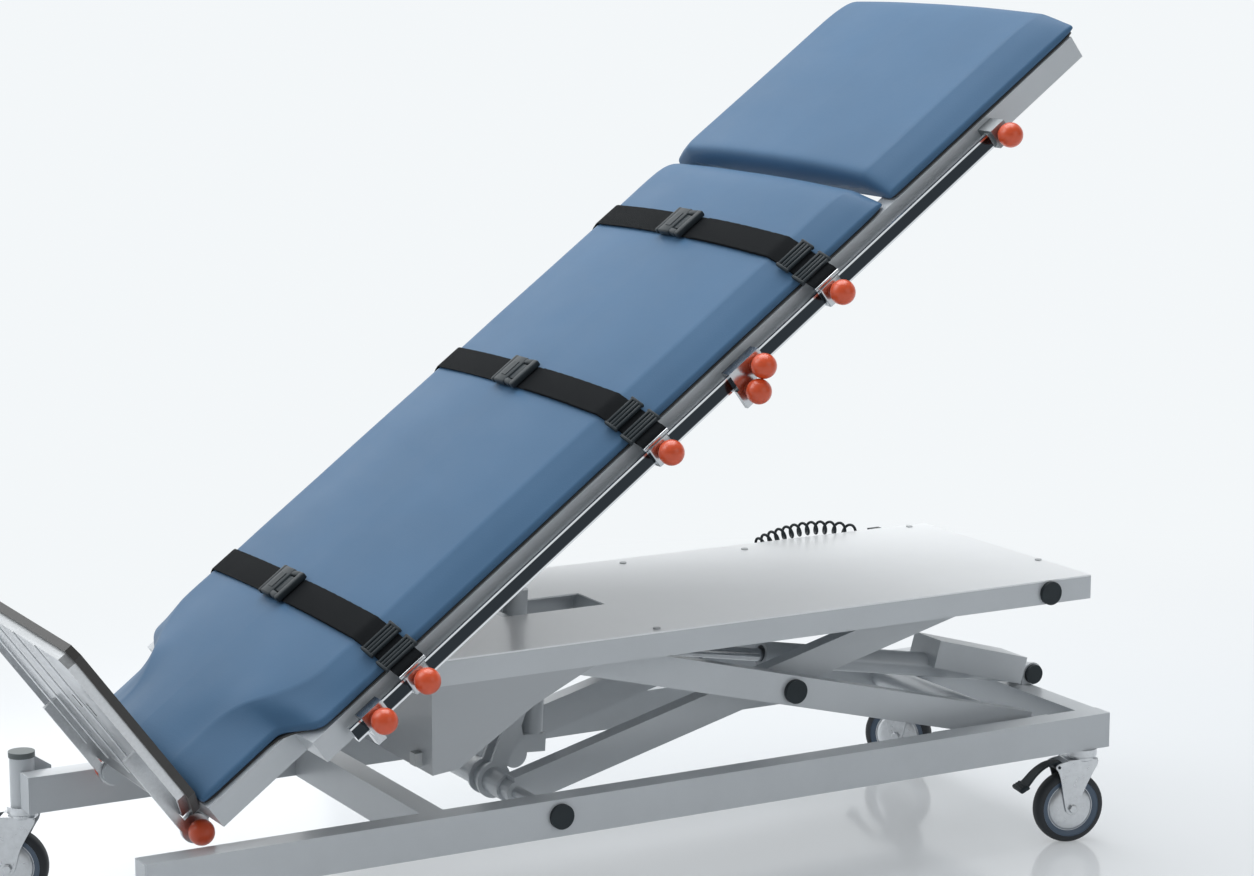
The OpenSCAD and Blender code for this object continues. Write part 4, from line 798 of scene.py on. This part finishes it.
# Ball's name, CAD node, body, place along the rails, height and distance out from the table's middle
KNOB_ROWS = [
    ("chest_knob_ball", "chest_strap_knob", "chest_knob", STRAPS["chest"], BAR_MID_H, CLAMP_FACE),
    ("hip_knob_ball", "hip_strap_knob", "hip_knob", STRAPS["hip"], BAR_MID_H, CLAMP_FACE),
    ("shin_knob_ball", "shin_strap_knob", "shin_knob", STRAPS["shin"], BAR_MID_H, CLAMP_FACE),
    ("foot_clamp_ball", "foot_clamp_knob", "foot_rail_knob", 0.092, BAR_MID_H, CLAMP_FACE),
    ("double_front_ball", "double_clamp_front_knob", "double_front_knob", 0.892, BAR_MID_H, CLAMP_FACE),
    ("double_low_ball", "double_clamp_low_knob", "double_low_knob", 0.862, BAR_MID_H - 0.026, CLAMP_FACE),
    ("socket_ball", "head_socket_knob", "socket_knob", 1.455, BAR_MID_H, SOCKET_FACE),
]


def add_knob(name, node, body, place, side):
    """Moulded ball on a short collar, with a fine parting line."""
    profile = list(KNOB_COLLAR)
    for k in range(BALL_STEPS):
        a = -pi / 2 + BALL_START + (pi - BALL_START) * k / BALL_STEPS
        radius = KNOB_R * cos(a) - (PARTING_DEPTH if abs(a) < PARTING_ANGLE else 0)
        profile.append((radius, KNOB_CENTRE + KNOB_R * sin(a)))
    profile.append((0.0, KNOB_CENTRE + KNOB_R))
    bm = bmesh.new()
    add_lathe(bm, Matrix.Translation(place) @ Matrix.Rotation(-pi / 2 * side, 4, "X"), profile, KNOB_SIDES)
    finish_mesh(name, bm, ["knob_orange"], body, 50.0, (node,))


def add_knobs():
    for name, node, body, s, h, reach in KNOB_ROWS:
        add_knob(name, node, body, on_top(s, -reach, h), -1)
    s, y, h = FOOTPLATE_KNOB
    for word, side in (("near", -1), ("far", 1)):
        add_knob(f"{word}_footplate_ball", f"footplate_knob_{word}", f"{word}_footplate_knob",
                 on_top(s, side * y, h), side)


# Casters

WHEEL_R = 0.0625
CASTERS = ["near_foot", "far_foot", "near_head", "far_head"]


# Half of the wheel's section, from the hub out, as (radius, distance from the middle)
WHEEL_SECTION = [(0.0, 0.0167), (0.0075, 0.0166), (0.0165, 0.0162), (0.026, 0.0158), (0.034, 0.0146),
                 (0.0385, 0.0126), (0.0400, 0.0098), (0.0412, 0.0096), (0.0445, 0.0118), (0.0500, 0.0126),
                 (0.0508, 0.0142), (0.0555, 0.0138), (0.0595, 0.0116), (0.0617, 0.0078),
                 (WHEEL_R - 0.0001, 0.003)]
TYRE_FROM_R = 0.0504
RIM_FROM_R = 0.0406
TYRE, RIM, HUB = 0, 1, 2
AXLE_PIN = [(0.0, 0.0166), (0.005, 0.0166), (0.005, 0.0205), (0.0, 0.0205)]
WHEEL_SIDES = 72
PIN_SIDES = 24


def add_wheel(which):
    """Wheel of one closed section, with the tyre, rim and hub told apart by their radius."""
    joint = JOINTS[f"{which}_roll"]
    axis = Vector(joint["axis"]).normalized()
    matrix = Matrix.Translation(Vector(joint["pos_m"])) @ axis.to_track_quat("Z", "Y").to_matrix().to_4x4()
    line = WHEEL_SECTION + [(r, -y) for r, y in reversed(WHEEL_SECTION)]
    profile = []
    for (r, y), (after, _) in zip(line, line[1:] + line[-1:]):
        middle = (r + after) / 2
        profile.append((r, y, TYRE if middle > TYRE_FROM_R else (RIM if middle > RIM_FROM_R else HUB)))
    bm = bmesh.new()
    add_lathe(bm, matrix, profile, WHEEL_SIDES)
    for side in (-1, 1):
        add_lathe(bm, matrix, [(r, y * side, HUB) for r, y in AXLE_PIN], PIN_SIDES)
    finish_mesh(f"{which}_tyre_and_rim", bm, ["rubber", "rim", "zinc"], f"{which}_wheel",
                38.0, (f"caster_wheel_{which}",))


def caster_matrix(which):
    """Matrix on the floor under a caster's swivel, with x along its trail."""
    swivel = Vector(JOINTS[f"{which}_swivel"]["pos_m"])
    roll = Vector(JOINTS[f"{which}_roll"]["pos_m"])
    trail = Vector((roll.x - swivel.x, roll.y - swivel.y, 0)).normalized()
    side = Vector((0, 0, 1)).cross(trail)
    rot = Matrix((trail, side, Vector((0, 0, 1)))).transposed().to_4x4()
    return Matrix.Translation((swivel.x, swivel.y, 0)) @ rot


# Section of a bent strip: share of its half width, share of its half thickness
STRIP_SHAPE = [(-1, -0.6), (-0.94, -1), (0.94, -1), (1, -0.6), (1, 0.6), (0.94, 1), (-0.94, 1), (-1, 0.6)]


def add_strip(bm, matrix, points, width_at, thick):
    """Bent strip along (x, z) points in the matrix's plane, whose width follows the share of the way."""
    rings = []
    for i, (x, z) in enumerate(points):
        a, b = points[max(i - 1, 0)], points[min(i + 1, len(points) - 1)]
        run = Vector((b[0] - a[0], b[1] - a[1])).normalized()
        half = width_at(i / (len(points) - 1)) / 2
        rings.append([bm.verts.new(matrix @ Vector((x - run.y * v * thick / 2, u * half,
                                                    z + run.x * v * thick / 2)))
                      for u, v in STRIP_SHAPE])
    loft(bm, rings)


FORK_TOP = 0.1517
LEG_INNER_Y = 0.0178
LEG_OUTER_Y = 0.0204
AXLE_X = 0.024
CROWN_PROFILE = [(0.0, FORK_TOP), (0.0215, FORK_TOP), (0.0235, FORK_TOP - 0.001), (0.0235, FORK_TOP - 0.006),
                 (0.0205, FORK_TOP - 0.0085), (0.0, FORK_TOP - 0.0085)]
LEG_OUTLINE = [(-0.0225, FORK_TOP - 0.003), (0.027, FORK_TOP - 0.003), (0.054, 0.1425), (0.0565, 0.136),
               (0.052, 0.1305), (0.047, 0.118), (0.041, 0.085), (0.037, 0.0625), (0.034, 0.0545),
               (0.024, 0.0500), (0.014, 0.0545), (0.011, 0.0625), (0.004, 0.092), (-0.014, 0.125),
               (-0.0225, 0.138)]
NUT_PROFILE = [(0.0, 0.0204), (0.0078, 0.0204), (0.0078, 0.0246), (0.0068, 0.0256), (0.0, 0.0256)]
NUT_SIDES = 6
CROWN_SIDES = 40
CROWN_PLATE = (0.056, 0.0405, 0.0034)


def add_fork(which):
    """Pressed fork: a crown plate and two legs that sweep back to the axle."""
    matrix = caster_matrix(which)
    bm = bmesh.new()
    add_lathe(bm, matrix, CROWN_PROFILE, CROWN_SIDES)
    outline = chaikin(LEG_OUTLINE, 2, True)
    for side in (-1, 1):
        loft(bm, [[bm.verts.new(matrix @ Vector((x, side * y, z))) for x, z in outline]
                  for y in (LEG_INNER_Y, LEG_OUTER_Y)])
    crown = matrix @ Matrix.Translation((0.006, 0, FORK_TOP - 0.0046))
    add_box(bm, crown, CROWN_PLATE, 0.0012, 2)
    axle = matrix @ Matrix.Translation((AXLE_X, 0, WHEEL_R)) @ Matrix.Rotation(pi / 2, 4, "X")
    for side in (-1, 1):
        add_lathe(bm, axle, [(r, y * side) for r, y in NUT_PROFILE], NUT_SIDES)
    obj = finish_mesh(f"{which}_fork_shell", bm, ["zinc"], f"{which}_fork", 35.0,
                      (f"caster_fork_{which}",))
    soften(obj, FORK_ROUNDING)


LEVER_LINE = [(0.040, 0.1405), (0.052, 0.1425), (0.070, 0.1385), (0.088, 0.126), (0.100, 0.112),
              (0.1085, 0.1035)]
LEVER_THICK = 0.0036
LEVER_WIDTH = 0.022
LEVER_WIDENING = 0.014
PEDAL_PIVOT = (0.050, 0, 0.137)
BARREL_PROFILE = [(0.0, -0.0172), (0.0052, -0.0172), (0.0056, -0.0166), (0.0056, 0.0166), (0.0052, 0.0172),
                  (0.0, 0.0172)]
PIN_PROFILE = [(0.0, 0.0172), (0.0028, 0.0172), (0.0028, 0.0212), (0.0, 0.0212)]
TREAD_PLACE = (0.1115, 0, 0.1025)
TREAD_SLOPE = 28.0
TREAD_RIBS = 3


def add_pedal(which):
    """Curved brake lever with a ribbed tread, on a barrel between the fork's legs."""
    matrix = caster_matrix(which)
    bm = bmesh.new()
    add_strip(bm, matrix, chaikin(LEVER_LINE, 2), lambda t: LEVER_WIDTH + LEVER_WIDENING * t * t,
              LEVER_THICK)
    tread = matrix @ Matrix.Translation(TREAD_PLACE) @ Matrix.Rotation(radians(TREAD_SLOPE), 4, "Y")
    add_box(bm, tread, (0.018, 0.0385, 0.0075), 0.0024, 3)
    for rib in range(TREAD_RIBS):
        shift = Matrix.Translation((-0.005 + rib * 0.005, 0, 0.0042))
        add_box(bm, tread @ shift, (0.0022, 0.033, 0.0016), 0.0005, 1)
    cross = matrix @ Matrix.Translation(PEDAL_PIVOT) @ Matrix.Rotation(pi / 2, 4, "X")
    add_lathe(bm, cross, BARREL_PROFILE, PIN_SIDES)
    for side in (-1, 1):
        add_lathe(bm, cross, [(r, y * side) for r, y in PIN_PROFILE], 16)
    finish_mesh(f"{which}_pedal_lever", bm, ["dark_plastic"], f"{which}_pedal", 35.0,
                (f"caster_brake_{which}",))


# Curly cord, on the same route as its CAD tube

CORD_D = 0.005
CORD_Y = 0.268
CURL_R = 0.0105
CURLS = 13
CORD_SPAN = 0.250
CORD_RISE = 0.026
CORD_MID = (1.475, 0.448)
LEAD_SHARE = 0.045
CORD_STRETCH = 0.32
LEAD_MIDDLE = 0.6
CURL_GROWTH = 1.2
CURL_STEPS = 20


def cord_arc(share):
    """Point and outward direction of the arc that the curls follow, in x and z."""
    radius = ((CORD_SPAN / 2) ** 2 + CORD_RISE ** 2) / (2 * CORD_RISE)
    turn = asin(CORD_SPAN / 2 / radius)
    a = pi / 2 - turn + 2 * turn * share
    out = Vector((cos(a), 0, sin(a)))
    centre = Vector((CORD_MID[0] - ORIGIN_X, CORD_Y + MID_Y, CORD_MID[1] + CORD_RISE - radius))
    return centre + out * radius, out


def curl_point(t):
    """Point of the curled part, wound closer towards one end and growing out of both leads."""
    r = 1 - t
    a = 2 * pi * CURLS * (1 - (r + CORD_STRETCH * r * (1 - r)))
    point, out = cord_arc(LEAD_SHARE + (1 - 2 * LEAD_SHARE) * t)
    grow = min(1.0, min(t, 1 - t) * CURLS * CURL_GROWTH)
    return point + out * (grow * CURL_R * cos(a)) + Vector((0, grow * CURL_R * sin(a), 0))


def add_cord():
    steps = CURLS * CURL_STEPS
    lead = LEAD_SHARE * LEAD_MIDDLE
    points = [cord_arc(0)[0], cord_arc(lead)[0]]
    points += [curl_point(i / steps) for i in range(steps + 1)]
    points += [cord_arc(1 - lead)[0], cord_arc(1)[0]]
    curve = bpy.data.curves.new("handset_lead", "CURVE")
    curve.dimensions = "3D"
    spline = curve.splines.new("POLY")
    spline.points.add(len(points) - 1)
    for i, point in enumerate(points):
        spline.points[i].co = (*point, 1)
    curve.bevel_depth = CORD_D / 2
    curve.bevel_resolution = 4
    curve.use_fill_caps = True
    obj = bpy.data.objects.new("handset_lead", curve)
    bpy.context.scene.collection.objects.link(obj)
    curve.materials.append(MATERIALS["dark_plastic"])
    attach(obj, "deck")
    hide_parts("handset_cord")


# Small trim

# Ribs of the footplate's tray and thin dark boxes that paint the shade inside two slots: places across, then
# s and h of their middle, and size
TRAY_RIBS_Y = (-0.145, -0.048, 0.048, 0.145)
TRAY_RIB_PLACE = (-0.1966, 0.18)
TRAY_RIB_SIZE = (0.0030, 0.0085, 0.30)
TRAY_SLOT_SHADES_Y = (-0.175, -0.115)
TRAY_SLOT_SHADE_PLACE = (-0.1961, 0.205)
TRAY_SLOT_SHADE_SIZE = (0.0012, 0.007, 0.024)


def add_trim():
    """Stiffening ribs on the back of the footplate's tray, with two thin dark boxes at its near side as
    painted shade inside two slots.
    """
    bm = bmesh.new()
    s, h = TRAY_RIB_PLACE
    for y in TRAY_RIBS_Y:
        add_box(bm, top_matrix(s, y, h), TRAY_RIB_SIZE, 0.0014, 3, 0)
    # Thin dark boxes as the painted shade inside two slots
    s, h = TRAY_SLOT_SHADE_PLACE
    for y in TRAY_SLOT_SHADES_Y:
        add_box(bm, top_matrix(s, y, h), TRAY_SLOT_SHADE_SIZE, 0.0005, 1, 1)
    finish_mesh("tray_ribs", bm, ["aluminium", "dark_plastic"], "footplate", 35.0)


# Stage, light and camera

BACKDROP = (0.90, 0.93, 0.948)
FLOOR_HALF = 30
FLOOR_DARK = (0.77, 0.80, 0.83)
FLOOR_LIGHT = (0.82, 0.845, 0.87)
FLOOR_ROUGHNESS = 0.11

# The floor turns white between these distances, counted in stretched axes, from this share at the table
FLOOR_FADE = (1.1, 3.2)
FLOOR_STRETCH = (0.85, 1.3, 1)
FLOOR_WHITE_NEAR = 0.30

# What metal sees: the studio's strength before the table, and where it grows to full behind it
DIM_SIDE = 0.22
DIM_FADE = (-0.55, 0.60)

SKY_COLOUR = (0.88, 0.92, 0.96)
SKY_STRENGTH = 0.44

# Square lamps: name, place, target, size in metres and power in watts
LAMPS = [("key", (-3.4, 1.6, 4.2), (0.1, 0, 0.8), 3.0, 75.0),
         ("fill", (1.5, -4.5, 2.4), (0.2, 0, 0.5), 3.0, 20.0),
         ("top", (0.6, 1.0, 5.0), (0.1, 0, 0.5), 4.0, 172.0),
         ("back", (0.2, 4.8, 2.6), (0, 0, 0.9), 3.2, 28.0)]


def seen_ray(tree):
    """One for camera, glossy and transmission rays, which see the white studio, and zero for the light."""
    path = tree.nodes.new("ShaderNodeLightPath")
    total = path.outputs["Is Camera Ray"]
    for name in ("Is Glossy Ray", "Is Transmission Ray"):
        total = math_node(tree, "ADD", total, path.outputs[name], clamp=True)
    return total


def mix_shaders(tree, factor, first, second, output):
    """Mixes two shaders by a factor into the tree's output node."""
    mix = tree.nodes.new("ShaderNodeMixShader")
    tree.links.new(factor, mix.inputs["Fac"])
    tree.links.new(first, mix.inputs[1])
    tree.links.new(second, mix.inputs[2])
    tree.links.new(mix.outputs["Shader"], tree.nodes[output].inputs["Surface"])


def add_stage():
    """Pale glossy floor that fades into the white studio away from the table."""
    mesh = bpy.data.meshes.new("floor")
    corners = [(x * FLOOR_HALF, y * FLOOR_HALF, 0) for x, y in ((-1, -1), (1, -1), (1, 1), (-1, 1))]
    mesh.from_pydata(corners, [], [(0, 1, 2, 3)])
    floor = bpy.data.objects.new("floor", mesh)
    bpy.context.scene.collection.objects.link(floor)
    mat, tree, shader = new_material("pale_floor")
    drift = noise_texture(tree, object_coords(tree), 0.6, 2.0, 0.5)
    tree.links.new(colour_ramp(tree, drift, FLOOR_DARK, FLOOR_LIGHT), shader.inputs["Base Color"])
    shader.inputs["Roughness"].default_value = FLOOR_ROUGHNESS
    shader.inputs["Specular IOR Level"].default_value = 0.5
    away = math_node(tree, "LENGTH", object_coords(tree, FLOOR_STRETCH), kind="ShaderNodeVectorMath")
    fade = value_range(tree, away, FLOOR_WHITE_NEAR, 1.0, *FLOOR_FADE, "SMOOTHSTEP")
    share = math_node(tree, "MULTIPLY", fade, seen_ray(tree))
    white = add_node(tree, "ShaderNodeEmission", Color=(*BACKDROP, 1))
    mix_shaders(tree, share, shader.outputs["BSDF"], white.outputs["Emission"], "Material Output")
    mesh.materials.append(mat)


def reflected_strength(tree):
    """Full white for the camera, while metal sees a studio that is dim on the camera's side."""
    side = value_range(tree, split_axes(tree, "Generated")["Y"], DIM_SIDE, 1.0, *DIM_FADE, "SMOOTHSTEP")
    path = tree.nodes.new("ShaderNodeLightPath")
    return math_node(tree, "MAXIMUM", side, path.outputs["Is Camera Ray"])


def add_lights():
    """World that lights softly and shows as a white studio, and four lamps."""
    world = bpy.data.worlds.new("studio")
    bpy.context.scene.world = world
    world.use_nodes = True
    tree = world.node_tree
    sky = tree.nodes["Background"]
    sky.inputs["Color"].default_value = (*SKY_COLOUR, 1)
    sky.inputs["Strength"].default_value = SKY_STRENGTH
    studio = add_node(tree, "ShaderNodeBackground", Color=(*BACKDROP, 1))
    tree.links.new(reflected_strength(tree), studio.inputs["Strength"])
    mix_shaders(tree, seen_ray(tree), sky.outputs["Background"], studio.outputs["Background"],
                "World Output")
    for name, place, target, size, power in LAMPS:
        data = bpy.data.lights.new(name, "AREA")
        data.shape = "SQUARE"
        data.size = size
        data.energy = power
        lamp = bpy.data.objects.new(name, data)
        lamp.location = place
        lamp.rotation_euler = (Vector(target) - Vector(place)).to_track_quat("-Z", "Y").to_euler()
        bpy.context.scene.collection.objects.link(lamp)


def add_camera():
    """Camera on the side and at the height that the photograph was taken from."""
    az, el = radians(CAMERA_AZIMUTH), radians(CAMERA_ELEVATION)
    back = Vector((sin(az) * cos(el), -cos(az) * cos(el), sin(el)))
    data = bpy.data.cameras.new("view")
    data.sensor_width = SENSOR_MM
    data.lens = FOCAL_PX * SENSOR_MM / IMAGE_W
    data.shift_x = -(PRINCIPAL[0] - IMAGE_W / 2) / IMAGE_W
    data.shift_y = (PRINCIPAL[1] - IMAGE_H / 2) / IMAGE_W
    camera = bpy.data.objects.new("view", data)
    camera.location = CAMERA_TARGET + back * CAMERA_DISTANCE
    camera.rotation_euler = (-back).to_track_quat("-Z", "Y").to_euler()
    bpy.context.scene.collection.objects.link(camera)
    bpy.context.scene.camera = camera


bpy.context.scene.view_settings.view_transform = "Standard"
add_camera()
add_cord()
dress_nodes()
add_cushion("main_cushion_skin", "main_cushion", FOOT_S, MAIN_END_S - FOOT_S, main_rows(), True)
add_cushion("head_cushion_skin", "head_cushion", HEAD_START_S, HEAD_LENGTH, head_rows(), False)
for strap_kind, strap_s in STRAPS.items():
    add_strap(strap_kind, strap_s)
add_knobs()
for caster in CASTERS:
    add_wheel(caster)
    add_fork(caster)
    add_pedal(caster)
add_trim()
add_stage()
add_lights()
